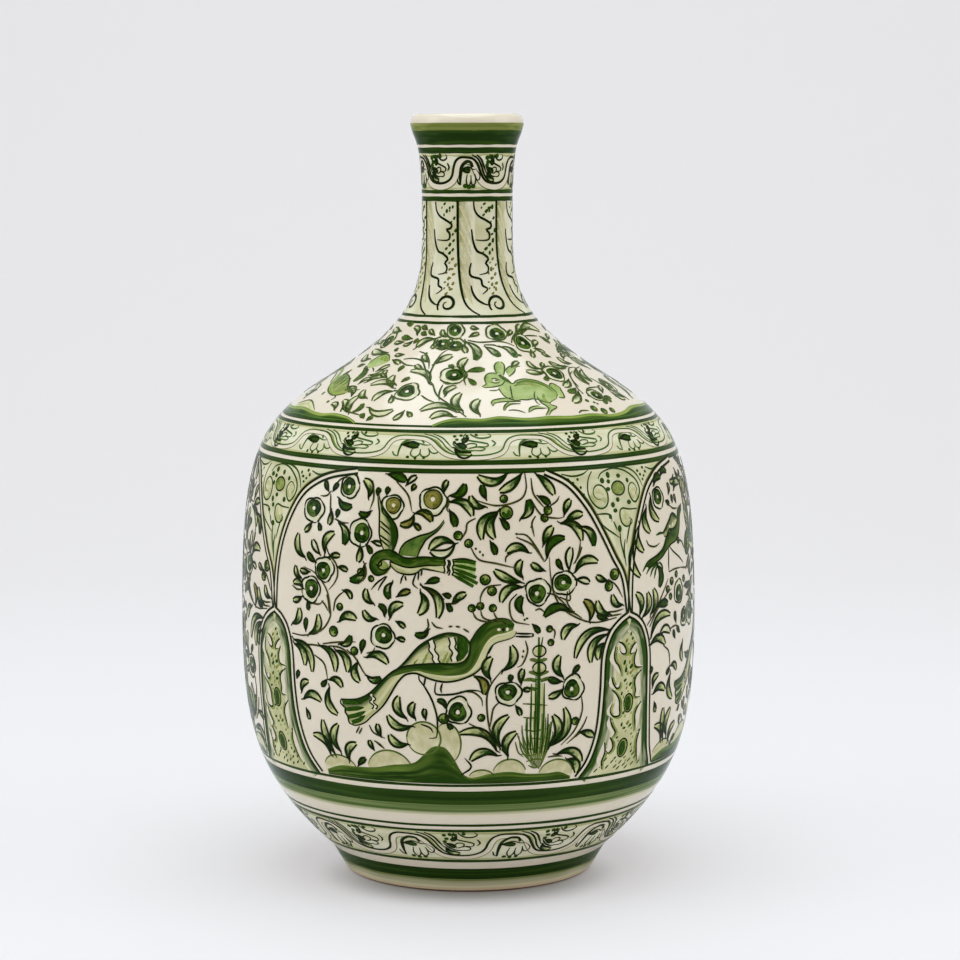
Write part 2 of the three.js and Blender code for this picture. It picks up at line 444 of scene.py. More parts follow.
foot_ring = turned_section(
    "glazed_foot_ring",
    [(FOOT_BORE + FOOT_EDGE, 0), (FOOT[0] - FOOT_EDGE, 0), (FOOT[0] - 0.2, 0.35)]
    + wall_between(FOOT_EDGE, BARE_CLAY_TOP) + wall_between(BARE_CLAY_TOP, FOOT_SEAM)[1:]
    + [(FOOT_BORE, FOOT_SEAM), (FOOT_BORE, FOOT_EDGE)],
    ["foot_ring"])
foot_ring.data.materials.append(CLAY)
for face in foot_ring.data.polygons:
    face.material_index = 1 if face.center.z < BARE_CLAY_TOP * MM else 0

# %% [markdown]
# ## Brushwork
# The decoration is painted freehand, so no primitive or texture can give it. It is built the way it
# is painted instead: as strokes. A stroke is a thin closed ribbon of pigment that lies on the wall:
# two rails mark its edges, its top follows the curve of the wall a few hundredths of a millimetre
# above the glaze, and its underside lies in the clay, so that the mesh is closed.
# A painting collects strokes and becomes one mesh for each zone of the vase. Each stroke lies a hair
# above the one before, as wet pigment does.

# %% Collect strokes into a painting
KEEL_DEPTH = 0.4
HAIR = 0.0004
HAIRS = 25


class Painting:
    """The brush strokes of one zone, which become one mesh."""

    def __init__(self, name, seed, paler=None):
        self.name = name
        self.paler = paler or {}
        self.chance = np.random.default_rng(seed)
        self.points = []
        self.quads = []
        self.quad_uvs = []
        self.quad_pigments = []
        self.caps = []
        self.cap_uvs = []
        self.cap_pigments = []
        self.size = 0
        self.strokes = 0

    def stroke(self, first, second, pigment, columns=1, closed=False):
        """Adds a ribbon between two rails of (angle, arc) points; U runs from the first to the second."""
        pigment = self.paler.get(pigment, pigment)
        forward = np.diff(first, axis=0)
        across = (second - first)[:-1]
        share = np.linspace(0, 1, columns + 1)
        if np.sum(forward[:, 0] * across[:, 1] - forward[:, 1] * across[:, 0]) > 0:
            share = share[::-1]
        rows = len(first)
        keels = max(1, columns - 1)
        lift = PIGMENTS[pigment][2] + HAIR * (self.strokes % HAIRS)
        under = np.linspace(share[-1], share[0], keels + 2)[1:-1]
        loop = np.concatenate([share, under])
        grid = first[:, None] * (1 - loop)[None, :, None] + second[:, None] * loop[None, :, None]
        depth = np.where(np.arange(len(loop)) > columns, -KEEL_DEPTH, lift)
        self.points.append(on_wall(grid[..., 0], grid[..., 1], depth).reshape(-1, 3))

        stride = len(loop)
        row = np.arange(rows if closed else rows - 1)
        here = self.size + row * stride
        there = self.size + (row + 1) % rows * stride
        number = PIGMENT_NAMES.index(pigment)
        lane = number * LANES + self.chance.integers(LANES)
        u = (lane + LANE_INSET + (1 - 2 * LANE_INSET) * loop) / LANE_COUNT
        v = np.linspace(0.02, 0.98, len(row) + 1)
        if closed:
            v = 0.5 - 0.45 * np.cos(2 * math.pi * np.linspace(0, 1, len(row) + 1))
        for a in range(stride):
            b = (a + 1) % stride
            self.quads.append(np.column_stack([here + a, here + b, there + b, there + a]))
            corners = np.empty((len(row), 4, 2))
            corners[:, :, 0] = (u[a], u[b], u[b], u[a])
            corners[:, :, 1] = np.column_stack([v[:-1], v[:-1], v[1:], v[1:]])
            self.quad_uvs.append(corners)
            self.quad_pigments += [number] * len(row)
        if not closed:
            ring = np.arange(stride)
            inwards = 0.01 * (ring > columns)
            self.caps.append((self.size + ring[::-1]).tolist())
            self.cap_uvs += list(zip(u[::-1], (v[0] + inwards)[::-1]))
            self.caps.append((self.size + (rows - 1) * stride + ring).tolist())
            self.cap_uvs += list(zip(u, v[-1] - inwards))
            self.cap_pigments += [number, number]
        self.size += rows * stride
        self.strokes += 1

    def finish(self):
        """Makes the mesh, with one material slot for each pigment."""
        mesh = bpy.data.meshes.new(self.name)
        faces = np.concatenate(self.quads).tolist() + self.caps
        mesh.from_pydata(np.concatenate(self.points).tolist(), [], faces)
        uvs = np.concatenate([np.concatenate(self.quad_uvs).reshape(-1, 2), np.array(self.cap_uvs)])
        mesh.uv_layers.new(name=UV_NAME).data.foreach_set("uv", uvs.ravel())
        for material in PIGMENT_MATERIALS:
            mesh.materials.append(material)
        mesh.polygons.foreach_set("material_index", self.quad_pigments + self.cap_pigments)
        piece = bpy.data.objects.new(self.name, mesh)
        bpy.context.collection.objects.link(piece)
        bpy.ops.object.select_all(action="DESELECT")
        piece.select_set(True)
        bpy.context.view_layer.objects.active = piece
        bpy.ops.object.shade_smooth_by_angle(angle=SMOOTH_ANGLE)
        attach(piece, "root")
        triangles = sum(len(face) - 2 for face in faces)
        print(self.name, "has", self.strokes, "strokes in", triangles, "triangles")


# %% [markdown]
# A brush paints on one painting. Its places are written as a painter would measure them: degrees
# round the vase from the front, and height in millimetres. A motif's own shape is in millimetres on
# the wall. A panel that repeats round the vase is the same design painted by a brush that starts
# elsewhere and squeezes the spacing to the panel's width.

# %% Paint with a brush
PATH_STEP = 1.2
FILL_STEP = 2.0
RING_STEP = 1.5
HUG = 0.28
PRESS_SHARE = 0.3
SMALL_DOT = 1.6
ANY_TURN = 6.28
TREMBLES = (2, 3, 5, 7, 11, 16)


def ellipse(turn, half_width, half_height):
    """Points round an ellipse at angles in radians."""
    return np.column_stack([half_width * np.cos(turn), half_height * np.sin(turn)])


def columns_across(width, path):
    """How many columns a stroke needs to hug the wall: more where it is wide or the vase is narrow."""
    step = min(FILL_STEP, HUG * math.sqrt(np.min(radius_at(path[:, 1]))))
    return max(1, math.ceil(width / step))


def run_of(path):
    """How far each point of a path of (angle, arc) points lies along it, in millimetres."""
    moves = np.diff(path, axis=0)
    lengths = np.hypot(moves[:, 0] * radius_at((path[1:, 1] + path[:-1, 1]) / 2), moves[:, 1])
    return np.concatenate([[0], np.cumsum(lengths)])


def resampled(path, step=PATH_STEP, count=None):
    """A path evenly spaced in millimetres."""
    run = run_of(path)
    count = count or max(4, int(run[-1] / step) + 2)
    places = np.linspace(0, run[-1], count)
    return np.column_stack([np.interp(places, run, path[:, axis]) for axis in (0, 1)])


def smoothed(points, per_span=8):
    """A smooth curve through points, as a relaxed hand draws it."""
    points = np.asarray(points, dtype=float)
    padded = np.vstack([2 * points[0] - points[1], points, 2 * points[-1] - points[-2]])
    t = np.linspace(0, 1, per_span, endpoint=False)[:, None]
    spans = []
    for a, b, c, d in zip(padded, padded[1:], padded[2:], padded[3:]):
        spans.append(b + t * (c - a) / 2 + t ** 2 * (a - 2.5 * b + 2 * c - d / 2)
                     + t ** 3 * (1.5 * (b - c) + (d - a) / 2))
    return np.vstack(spans + [points[-1:]])


def offset(path, distance):
    """A path moved sideways by a distance in millimetres, to the left of its heading."""
    radius = radius_at(path[:, 1])
    heading = np.gradient(path, axis=0)
    heading[:, 0] *= radius
    heading /= np.linalg.norm(heading, axis=1)[:, None] + 1e-9
    return path + np.column_stack([-heading[:, 1] / radius, heading[:, 0]]) * np.reshape(distance, (-1, 1))


class Brush:
    """Paints strokes and motifs on one painting, from one place on the wall."""

    def __init__(self, painting, middle=0.0, squeeze=1.0, about=0.0):
        self.painting = painting
        self.middle = middle
        self.squeeze = squeeze
        self.about = about

    def angle(self, degrees):
        return np.radians(self.middle + self.squeeze * (np.asarray(degrees, dtype=float) - self.about))

    def path(self, points):
        """A smooth path through (degrees, height) points."""
        points = np.array(points, dtype=float)
        return smoothed(np.column_stack([self.angle(points[:, 0]), arc_at(points[:, 1])]))

    def near(self, degrees, height, xy):
        """A motif's own points, in millimetres to the right and up, at a place on the wall."""
        arc = arc_at(height)
        xy = np.asarray(xy, dtype=float)
        return np.column_stack([self.angle(degrees) + xy[:, 0] / radius_at(arc), arc + xy[:, 1]])

    def draw(self, path, width=0.8, pigment="outline", ends=(0.6, 0.35)):
        """A line along a path, thinner at its ends."""
        path = resampled(path)
        along = np.linspace(0, 1, len(path))
        press = np.minimum(ends[0] + (1 - ends[0]) * along / PRESS_SHARE,
                           ends[1] + (1 - ends[1]) * (1 - along) / PRESS_SHARE)
        half = width / 2 * np.clip(press, 0.15, 1)
        self.painting.stroke(offset(path, half), offset(path, -half), pigment, columns_across(width, path))

    def line(self, points, width=0.8, pigment="outline", ends=(0.6, 0.35)):
        self.draw(self.path(points), width, pigment, ends)

    def lines(self, many, width=0.8, pigment="outline"):
        for points in many:
            self.line(points, width, pigment)

    def between(self, first, second, pigment):
        """Pigment between two paths that run the same way."""
        rows = max(len(resampled(first, FILL_STEP)), len(resampled(second, FILL_STEP)))
        first = resampled(first, count=rows)
        second = resampled(second, count=rows)
        gap = np.max(np.hypot((second - first)[:, 0] * radius_at(first[:, 1]), (second - first)[:, 1]))
        self.painting.stroke(first, second, pigment, columns_across(gap, first))

    def fill(self, first, second, pigment):
        """Pigment between two lines of (degrees, height) points."""
        self.between(self.path(first), self.path(second), pigment)

    def dot(self, degrees, height, radius, pigment="deep"):
        """One touch of the brush."""
        turn = np.linspace(0.12, math.pi - 0.12, 6 if radius < SMALL_DOT else 9)
        skew = self.painting.chance.uniform(0.85, 1.15)
        upper = ellipse(turn, -radius * skew, radius / skew)
        edges = [self.near(degrees, height, edge) for edge in (upper, upper * (1, -1))]
        self.painting.stroke(*edges, pigment, 1 if radius < SMALL_DOT else 3)

    def dab(self, degrees, height, size, pigment="deep"):
        """A short slanting touch of the brush tip."""
        slant = self.painting.chance.uniform(0.3, 1.5)
        reach = size * np.array([math.cos(slant), math.sin(slant)])
        self.draw(self.near(degrees, height, [-reach, 0 * reach, reach]), 1.3 * size, pigment, (0.8, 0.5))

    def ring(self, low, high, pigment, wobble=0.12):
        """A band painted all round while the vase turns on its stand."""
        turn = np.linspace(0, 2 * math.pi, TURN_STEPS, endpoint=False)
        phase = self.painting.chance.uniform(0, ANY_TURN, len(TREMBLES))
        wave = [np.sin(turn * rate + shift) for rate, shift in zip(TREMBLES, phase)]
        top = arc_at(high) + wobble * (wave[0] + wave[2] + wave[4]) / 2
        bottom = arc_at(low) + wobble * (wave[1] + wave[3] + wave[5]) / 2
        columns = max(1, int((arc_at(high) - arc_at(low)) / RING_STEP))
        self.painting.stroke(np.column_stack([turn, top]), np.column_stack([turn, bottom]), pigment,
                             columns, closed=True)


print("brush strokes follow the wall every", PATH_STEP, "mm")

# %% [markdown]
# ### Leaves, flowers and curls
# The painter's vocabulary is small. A leaf is a comma: thin at its stem, full towards its tip, filled
# with one touch of a loaded brush that runs from dark to pale, then outlined. A flower is a ring of
# deep green around a bare centre, inside a scalloped outline. A curl is one line that winds in.

# %% Paint the small motifs
LEAF_FILLINGS = {"d": "shade", "t": "shade", "o": "wash", "y": "olive", "f": "deep"}
LEAF_BENDS = {"l": 0.26, "r": -0.26, "s": 0.08}
LEAF_REACH = 0.92
LEAF_FULLNESS = 0.38
LEAF_NARROWEST = 2.0
LEAF_WIDEST = 3.7
SMALLEST_RING = 1.3


def leaf(brush, stem_degrees, stem_height, tip_degrees, tip_height, style="ds"):
    """A comma leaf from its stem to its tip. The style's first letter is its filling: dark stem, tip
    dark, open, yellowish olive or full; the second is its bulge: left, right or straight."""
    stem = np.array([brush.angle(stem_degrees), arc_at(stem_height)])
    reach = LEAF_REACH * (np.array([brush.angle(tip_degrees), arc_at(tip_height)]) - stem)
    radius = radius_at(stem[1] + reach[1] / 2)
    reach[0] *= radius
    length = np.hypot(*reach)
    heading = reach / length
    left = np.array([-heading[1], heading[0]])
    t = np.linspace(0, 1, 13)[:, None]
    bend = LEAF_BENDS[style[1]] * length
    spine = t * reach + 4 * bend * t * (1 - t) * left
    slope = np.gradient(spine, axis=0)
    slope /= np.linalg.norm(slope, axis=1)[:, None]
    side = np.column_stack([-slope[:, 1], slope[:, 0]])
    width = np.clip(LEAF_FULLNESS * length, LEAF_NARROWEST, LEAF_WIDEST)
    half = width / 2 * np.sin(math.pi * (0.03 + 0.93 * t) ** 1.45) ** 0.75

    def place(xy):
        return stem + xy / (radius, 1)

    edges = [place(spine + side * half), place(spine - side * half)]
    if brush.painting.chance.random() < 0.5:
        edges.reverse()
    if style[0] == "t":
        edges = [edge[::-1] for edge in edges]
    brush.painting.stroke(*edges, LEAF_FILLINGS[style[0]], 3)
    tail = -min(2.0, 0.15 * length) * heading[None, :]
    brush.draw(place(np.vstack([tail, spine + side * half])), 1.35, "outline", (0.4, 0.7))
    brush.draw(place(spine - side * half), 1.15, "outline", (0.6, 0.7))


def flower(brush, degrees, height, radius=6.0, heart="bloom"):
    """A round flower: a wobbling outline in three pulls, a thick ring of pigment and a bare centre."""
    chance = brush.painting.chance
    begin = chance.uniform(0, ANY_TURN)
    sway = chance.uniform(-0.08, 0.08, 3)
    lean = 0.14 * radius * np.array([math.cos(begin), math.sin(begin)])
    turn = np.linspace(0, 2 * math.pi, 46) + begin

    def loop(size, scallop, shift):
        swing = sway[0] * np.cos(2 * turn) + sway[1] * np.sin(3 * turn) + sway[2] * np.cos(turn)
        reach = radius * size * (1 + scallop * np.abs(np.cos(2.5 * turn)) + swing)
        return brush.near(degrees, height, ellipse(turn, reach, reach) - shift * lean)

    brush.painting.stroke(loop(0.92, 0.12, 0), loop(0.6, 0, 1), "veil", 3)
    brush.painting.stroke(loop(0.66, 0, 1), loop(0.16, 0, 1), heart, 4)
    rim = loop(0.92, 0.12, 0)
    for part in (rim[:17], rim[15:32], rim[30:]):
        brush.draw(part, 1.0, "outline", (0.9, 0.2))
    brush.draw(loop(0.66, 0.03, 1), 0.7, "outline", (0.9, 0.5))


def berry(brush, degrees, height, radius):
    """A fruit: green in a ring, darker on one side. The smallest are single dots."""
    if radius < SMALLEST_RING:
        brush.dot(degrees, height, radius)
        return
    turn = np.linspace(0, 2 * math.pi, 17) + brush.painting.chance.uniform(0, ANY_TURN)
    loop = ellipse(turn, radius, radius)
    brush.dot(degrees, height, radius, "leaf")
    brush.draw(brush.near(degrees, height, 0.5 * loop[:12]), 0.7 * radius, "deep", (0.6, 0.6))
    brush.draw(brush.near(degrees, height, loop), 0.9, "outline", (0.9, 0.7))


def spiral(brush, degrees, height, radius, start, turns, width=0.8, pigment="outline", inward=0.25):
    """A curl that winds in from a starting direction in degrees; negative turns wind clockwise."""
    t = np.linspace(0, 1, int(18 * abs(turns)) + 6)
    reach = radius * (1 - (1 - inward) * t)
    turn = math.radians(start) + 2 * math.pi * turns * t
    brush.draw(brush.near(degrees, height, ellipse(turn, reach, reach)), width, pigment)


# %% [markdown]
# ### Painted bands
# The vase turns on a banding wheel while a loaded brush is held still. The bands therefore run true,
# but their edges tremble a little and the pigment streaks along them.

# %% Paint the bands
RIM_BANDS = [
    (370.7, 375.0, "rim"), (363.8, 370.8, "band"), (359.6, 362.5, "band"), (340.0, 341.8, "band"),
    (336.1, 338.5, "band"), (279.6, 280.8, "band"), (276.6, 277.8, "band")]
BELT_BANDS = [(228.9, 230.3, "band"), (214.8, 217.0, "band"), (210.9, 213.1, "band")]
FOOT_BANDS = [
    (61.8, 63.2, "band"), (46.2, 48.8, "fading"), (48.5, 52.8, "moss"), (52.3, 59.4, "band"),
    (39.9, 41.2, "band"), (36.6, 38.1, "band"), (17.9, 19.5, "band"), (2.6, 7.9, "fading"),
    (7.5, 13.5, "band")]

neck_painting = Painting("rim_and_neck_painting", 11)
belt_painting = Painting("belt_painting", 12)
foot_painting = Painting("foot_painting", 13)
banded = [(neck_painting, RIM_BANDS), (belt_painting, BELT_BANDS), (foot_painting, FOOT_BANDS)]
for painting, bands in banded:
    for low, high, pigment in bands:
        Brush(painting).ring(low, high, pigment)

# %% [markdown]
# ### Wave scrolls
# The rim, the belt and the foot each carry a running wave over a pale wash. One wave is drawn on a
# grid of its own: across from crest to crest, and up from the lower border to the upper one. It sinks
# in three parallel lines and rises steeply in one. Under each crest hangs a curled acanthus leaf, and
# in each trough grow berries, curls and a second leaf. The friezes differ in size, number and ink.

# %% Paint a wave scroll
WAVE_LINE = [
    (0, 0.90), (0.10, 0.86), (0.17, 0.72), (0.22, 0.52), (0.28, 0.32), (0.36, 0.21), (0.50, 0.17),
    (0.62, 0.20), (0.71, 0.30), (0.75, 0.44), (0.77, 0.62), (0.81, 0.80), (0.89, 0.90), (1.0, 0.90)]
WAVE_RIPPLES = [
    [(0.08, 0.97), (0.18, 0.86), (0.24, 0.68), (0.28, 0.48), (0.34, 0.30), (0.42, 0.22)],
    [(0.16, 0.97), (0.24, 0.84), (0.29, 0.64), (0.33, 0.46)]]
WAVE_SHADE = [
    [(0.02, 0.84), (0.12, 0.74), (0.18, 0.50), (0.24, 0.22)],
    [(0.10, 0.90), (0.20, 0.74), (0.25, 0.50), (0.32, 0.26)]]
ACANTHUS_STEM = [(-0.12, 0.12), (-0.115, 0.40), (-0.09, 0.64), (-0.015, 0.78), (0.06, 0.76), (0.09, 0.62)]
ACANTHUS_FINGERS = [
    [(0.0, 0.42), (-0.015, 0.22), (0.02, 0.10), (0.06, 0.20), (0.065, 0.40)],
    [(0.065, 0.40), (0.07, 0.20), (0.105, 0.11), (0.145, 0.22), (0.13, 0.44)],
    [(0.13, 0.44), (0.16, 0.28), (0.20, 0.26), (0.22, 0.40), (0.155, 0.56)],
    [(-0.17, 0.30), (-0.155, 0.18), (-0.12, 0.12)],
    [(-0.06, 0.60), (0.02, 0.64), (0.10, 0.56), (0.16, 0.58)]]
ACANTHUS_LEAVES = [(-0.09, 0.54, 0.06, 0.50, "fs")]
TROUGH_PETALS = [
    [(0.42, 0.50), (0.47, 0.62), (0.53, 0.60), (0.52, 0.50), (0.45, 0.44)],
    [(0.47, 0.44), (0.54, 0.50), (0.60, 0.44), (0.57, 0.36), (0.49, 0.37)]]
TROUGH_CURLS = [
    [(0.48, 0.98), (0.50, 0.90), (0.56, 0.82), (0.63, 0.84), (0.66, 0.92), (0.63, 0.98)],
    [(0.44, 0.98), (0.42, 0.86), (0.47, 0.74), (0.56, 0.67), (0.63, 0.60), (0.61, 0.50), (0.55, 0.52)],
    [(0.33, 0.62), (0.38, 0.46), (0.46, 0.36), (0.54, 0.37)], [(0.66, 0.74), (0.69, 0.62), (0.66, 0.52)]]
TROUGH_LEAVES = [
    (0.36, 0.60, 0.45, 0.44, "fs"), (0.35, 0.46, 0.50, 0.24, "dr"), (0.46, 0.84, 0.40, 0.70, "fs")]
TROUGH_BERRIES = [
    (0.345, 0.89), (0.365, 0.77), (0.345, 0.67), (0.53, 0.94), (0.40, 0.92), (0.45, 0.90), (-0.035, 0.10),
    (0.03, 0.07), (0.10, 0.09)]


def wave_scroll(painting, low, high, waves, crest, ink):
    """A frieze of waves between two heights, with a crest at a given angle, drawn in one pigment."""
    period = 360 / waves
    tall = high - low
    weight = tall / 18
    Brush(painting).ring(low, high, "veil")
    Brush(painting).ring(high - 1.3 * weight, high, "pool", 0.5)
    Brush(painting).ring(low, low + 1.3 * weight, "pool", 0.5)

    def grid(points):
        return [(x * period, low + y * tall) for x, y in points]

    for number in range(waves):
        brush = Brush(painting, crest + number * period)
        brush.fill(grid(WAVE_SHADE[0]), grid(WAVE_SHADE[1]), "leaf")
        wave = brush.path(grid(WAVE_LINE))
        brush.draw(offset(resampled(wave), -1.9 * weight), 2.6 * weight, "reserve", (1, 1))
        brush.draw(wave, 1.3 * weight, ink, (1, 1))
        brush.draw(offset(resampled(wave), -3.2 * weight), 1.0 * weight, "stem", (1, 1))
        brush.lines([grid(ripple) for ripple in WAVE_RIPPLES], 1.1 * weight, ink)
        brush.line(grid(ACANTHUS_STEM), 1.8 * weight, ink, (0.5, 0.8))
        brush.lines([grid(finger) for finger in ACANTHUS_FINGERS + TROUGH_PETALS], 0.75, ink)
        brush.lines([grid(curl) for curl in TROUGH_CURLS], 0.95, ink)
        for x, y, tip_x, tip_y, style in ACANTHUS_LEAVES + TROUGH_LEAVES:
            leaf(brush, x * period, low + y * tall, tip_x * period, low + tip_y * tall, style)
        for x, y in TROUGH_BERRIES:
            brush.dot(x * period, low + y * tall, 1.2 * weight)


wave_scroll(neck_painting, 342.0, 359.4, 5, 0, "outline")
wave_scroll(belt_painting, 217.0, 228.9, 11, -15, "pale_deep")
wave_scroll(foot_painting, 19.4, 36.7, 11, -19, "outline")

# %% [markdown]
# ### Neck panels
# Seven tall panels stand round the neck between leaning dividers, over a thin wash. Each has pale
# streaks on one side, scalloped lines like torn leaves in the middle, a drift of dots on the other
# side, and a curl at its foot.

# %% Paint the neck panels
NECK_PANELS = 7
DIVIDER = [
    (-12, 336.5), (-12, 318), (-11, 308), (-9.4, 300), (-7.5, 295), (-5, 290), (-1.5, 286), (4, 283),
    (11, 280.8)]
SCALLOPS = [
    [(7, 336), (8, 332), (12, 329), (19, 327), (25, 325), (24, 323), (19.5, 322.3), (23, 320.5),
     (22.5, 317.6), (17, 317), (9, 317.3)],
    [(5, 322.5), (6, 318), (8, 314), (11, 311.5), (16, 310.5), (21.5, 308), (18.5, 306), (21, 304),
     (19.5, 301.2), (12, 300.3)],
    [(4.5, 306), (3, 303), (3.5, 300), (7, 299), (13, 298), (14, 295), (18.5, 293.3), (13.5, 290.8)],
    [(4, 295), (5, 292), (7, 289.5), (10, 287.5), (15, 285.8), (19, 285.5)]]
NECK_DOTS = [
    (17, 335), (24, 333), (28, 333.5), (20, 331.5), (30, 328), (32, 322), (29, 317), (24, 315), (19, 313),
    (24, 311), (28, 312.5), (28, 308), (32, 305), (25, 303), (30, 300.5), (24, 298.5), (24, 295.5),
    (30, 296), (28, 293.2), (23, 291)]

SCALLOP_ROOT = 4
SCALLOP_STRETCH = 1.3
scallops = [
    [(SCALLOP_ROOT + SCALLOP_STRETCH * (degrees - SCALLOP_ROOT), height) for degrees, height in scallop]
    for scallop in SCALLOPS]

Brush(neck_painting).ring(280.9, 336.0, "veil")
for number in range(NECK_PANELS):
    brush = Brush(neck_painting, number * 360 / NECK_PANELS)
    brush.fill([(-11.4, 336), (-11.4, 318), (-10.4, 308), (-8.6, 299), (-4, 289)],
               [(9, 336), (10, 318), (10, 308), (11, 299), (12, 289)], "mist")
    for top in (334, 328, 322, 316, 310, 304, 298):
        brush.line([(-9, top), (-3, top - 4), (5, top - 12)], 2.0, "stone", (0.6, 0.2))
    brush.lines(scallops, 1.2)
    for degrees, height in NECK_DOTS:
        radius = brush.painting.chance.uniform(0.8, 1.2)
        brush.dab(degrees + 5, height, radius, "deep" if height > 310 else "olive")
        brush.dab(degrees + 1, height - 1.9, 0.7 * radius, "deep" if height > 318 else "olive")
    brush.line(DIVIDER, 1.3, "outline", (1, 0.6))
    spiral(brush, 31, 286, 5.2, -140, -1.3, 1.5)
for painting in (neck_painting, belt_painting, foot_painting):
    painting.finish()

# %% [markdown]
# ### Shoulder
# The shoulder is a meadow: flowers and leaf sprays over a strip of ground, with a hare on one side and
# a bird on the other. The same meadow runs twice round the vase. A leaf is written as its stem, its
# tip and its style. Without a style it is dark at its stem and straight.

# %% Plants of the shoulder
SHOULDER_FLOWERS = [
    (-6.7, 253.7, 6.5), (-22.7, 246.3, 6.3), (-8.3, 273.4, 4.6), (-16.2, 268, 4.6), (-8, 267.4, 4.4),
    (20.8, 272.6, 5.2), (38.4, 267, 6.0), (41.3, 253.3, 6.0), (52, 243, 4.5), (-63, 268, 5.0),
    (72, 262, 5.5), (68, 246, 5.0), (86.5, 254, 6.0)]
SHOULDER_LEAVES = [
    (-42.5, 259.5, -35.7, 257.8), (-33.5, 255, -32.7, 257.5, "fs"), (-37, 252, -41, 255.5, "dl"),
    (-29.8, 249.2, -34.4, 253.5, "dl"), (-28, 250.5, -25.5, 252.5, "fs"),
    (-30.2, 247.7, -42.9, 248.5, "dr"), (-29.2, 246.3, -35, 241.5, "dr"), (-28.5, 244.5, -27.3, 241),
    (-40.6, 236.6, -42.2, 244.3, "dl"), (-39.3, 236.8, -37.7, 240.8, "fr"),
    (-44.8, 237, -48.1, 241.6, "dr"), (-48, 237, -52.3, 239.5, "dr"), (-33.7, 234.6, -35.4, 236.5, "fs"),
    (-32, 233.5, -30.5, 235.3, "fs"), (-34, 239, -24, 238.5, "or"), (-21, 238, -23.6, 234, "os"),
    (-19.7, 237.8, -17.8, 235.5), (-3.5, 238, -16.5, 238.5, "dr"), (-4.4, 236, -12.2, 235.2, "dr"),
    (-1.5, 238.6, -2.5, 246.8, "dl"), (-8, 245, -4.1, 249.2, "dl"), (-16.8, 258.5, -7.7, 262.7),
    (-20.4, 259.4, -25.6, 262.7), (-21.4, 256, -26.9, 258.3), (-15.8, 250, -28.5, 255.7, "dr"),
    (-6.7, 256.7, -8.7, 258.6, "fs"), (-1.5, 255.6, 0.1, 261.6, "dl"), (-20.4, 269, -22.7, 265),
    (-4.1, 267.4, -0.8, 263.2), (-22.7, 269.5, -33.1, 265.3, "dr"), (-31.8, 274, -37.3, 276, "fs"),
    (-38.3, 271.4, -45.8, 275, "dr"), (-40.9, 269.5, -51.3, 270.5, "fs"), (-46, 267.7, -54.3, 267.4),
    (-39, 268.3, -44.5, 266.5, "dl"), (-36.2, 267.5, -34.5, 269.5, "fs"),
    (-47.5, 263.7, -45.2, 264.3, "fs"), (-38.3, 262.2, -44.5, 262), (-58, 272.5, -72, 273.5),
    (-68, 268, -76, 266), (-60, 266.8, -63, 266.8, "fs"), (-67, 253.5, -68, 251, "fs"),
    (-1.3, 268.5, 4.2, 259.7, "tl"), (11, 266, 18.2, 261.3, "ts"), (20.5, 266, 27, 260.7, "tl"),
    (38.4, 272, 46.2, 276), (40.3, 271.4, 66.4, 272, "dl"), (43.9, 265.6, 52, 268, "os"),
    (43.6, 264.4, 49.5, 262.2), (39.7, 264, 37, 260.5), (58.6, 269.5, 63.8, 266, "fs"),
    (36.4, 255.7, 32.2, 259.6, "dl"), (38, 255.7, 41.3, 258.3), (36.4, 254, 27.3, 255.2),
    (36.4, 252.5, 33.8, 250.5, "fs"), (54.7, 256, 45.2, 258.8, "dl"), (61.2, 257, 55.3, 260.4, "dl"),
    (46.2, 250.2, 39.7, 247.3), (44.9, 246.5, 39.4, 245, "fs"), (44.6, 245, 37.7, 240.3),
    (59.9, 254, 55, 247, "tr"), (63.8, 253.5, 59.2, 248, "tr"), (0, 255.2, 8.7, 256.2, "fs"),
    (0.3, 252.2, 2.9, 249.2, "fs"), (3.9, 237, 4.2, 244, "dl"), (54.7, 241.2, 59.2, 241, "fs"),
    (54.7, 241.2, 52, 239, "fs"), (54.7, 241.2, 57, 239.3, "fs"), (66, 268, 74, 270),
    (74, 254, 72, 262, "dl"), (70, 240, 69, 248, "dl"), (76, 240, 78, 249, "dr"), (82, 262, 76, 268, "dl"),
    (84, 250, 88, 258), (80, 272, 88, 273, "dl"), (62, 262, 69, 263), (-76, 266, -84, 268, "dl"),
    (-80, 273, -88, 274), (-86, 250, -88, 258, "dr"), (-76, 240, -80, 246, "dr"),
    (-48.5, 248.6, -45, 251.4, "dl"), (-56, 276, -48, 275.4, "fs"), (-46, 254.4, -41, 257.4, "os"),
    (1.6, 270.8, 9, 272.4, "os"), (8, 274.6, 2, 275.6), (30, 271, 35, 273.4, "os"),
    (22, 257, 27.4, 259.4, "os"), (50, 260.6, 46, 262.6), (60, 259, 66, 260.4, "dl"),
    (64, 243, 68, 239.6, "dr"), (57.6, 243.6, 61.6, 246.4), (-13, 271, -19, 274.4, "dl"),
    (-24, 271.6, -29.4, 274.4, "os"), (-30.4, 271.4, -35, 273, "fs"), (-45.4, 249.4, -37.4, 252.6, "dl"),
    (-48, 252.6, -41.6, 255.2, "dr"), (-53, 246.8, -46.6, 245.6), (-46, 243.4, -50.6, 246, "dr"),
    (-38, 243, -42.6, 246.6, "dl"), (-74, 243.4, -81, 241.6), (84, 249, 77, 245, "dr"),
    (90, 248, 97, 244.4, "dl"), (86, 261, 83, 267, "dl"), (90.6, 259.6, 96, 264),
    (80.6, 256, 74.6, 259, "dl"), (88, 246.6, 87, 240), (93, 254, 99, 256, "fs"), (98, 268, 92, 271, "dr")]
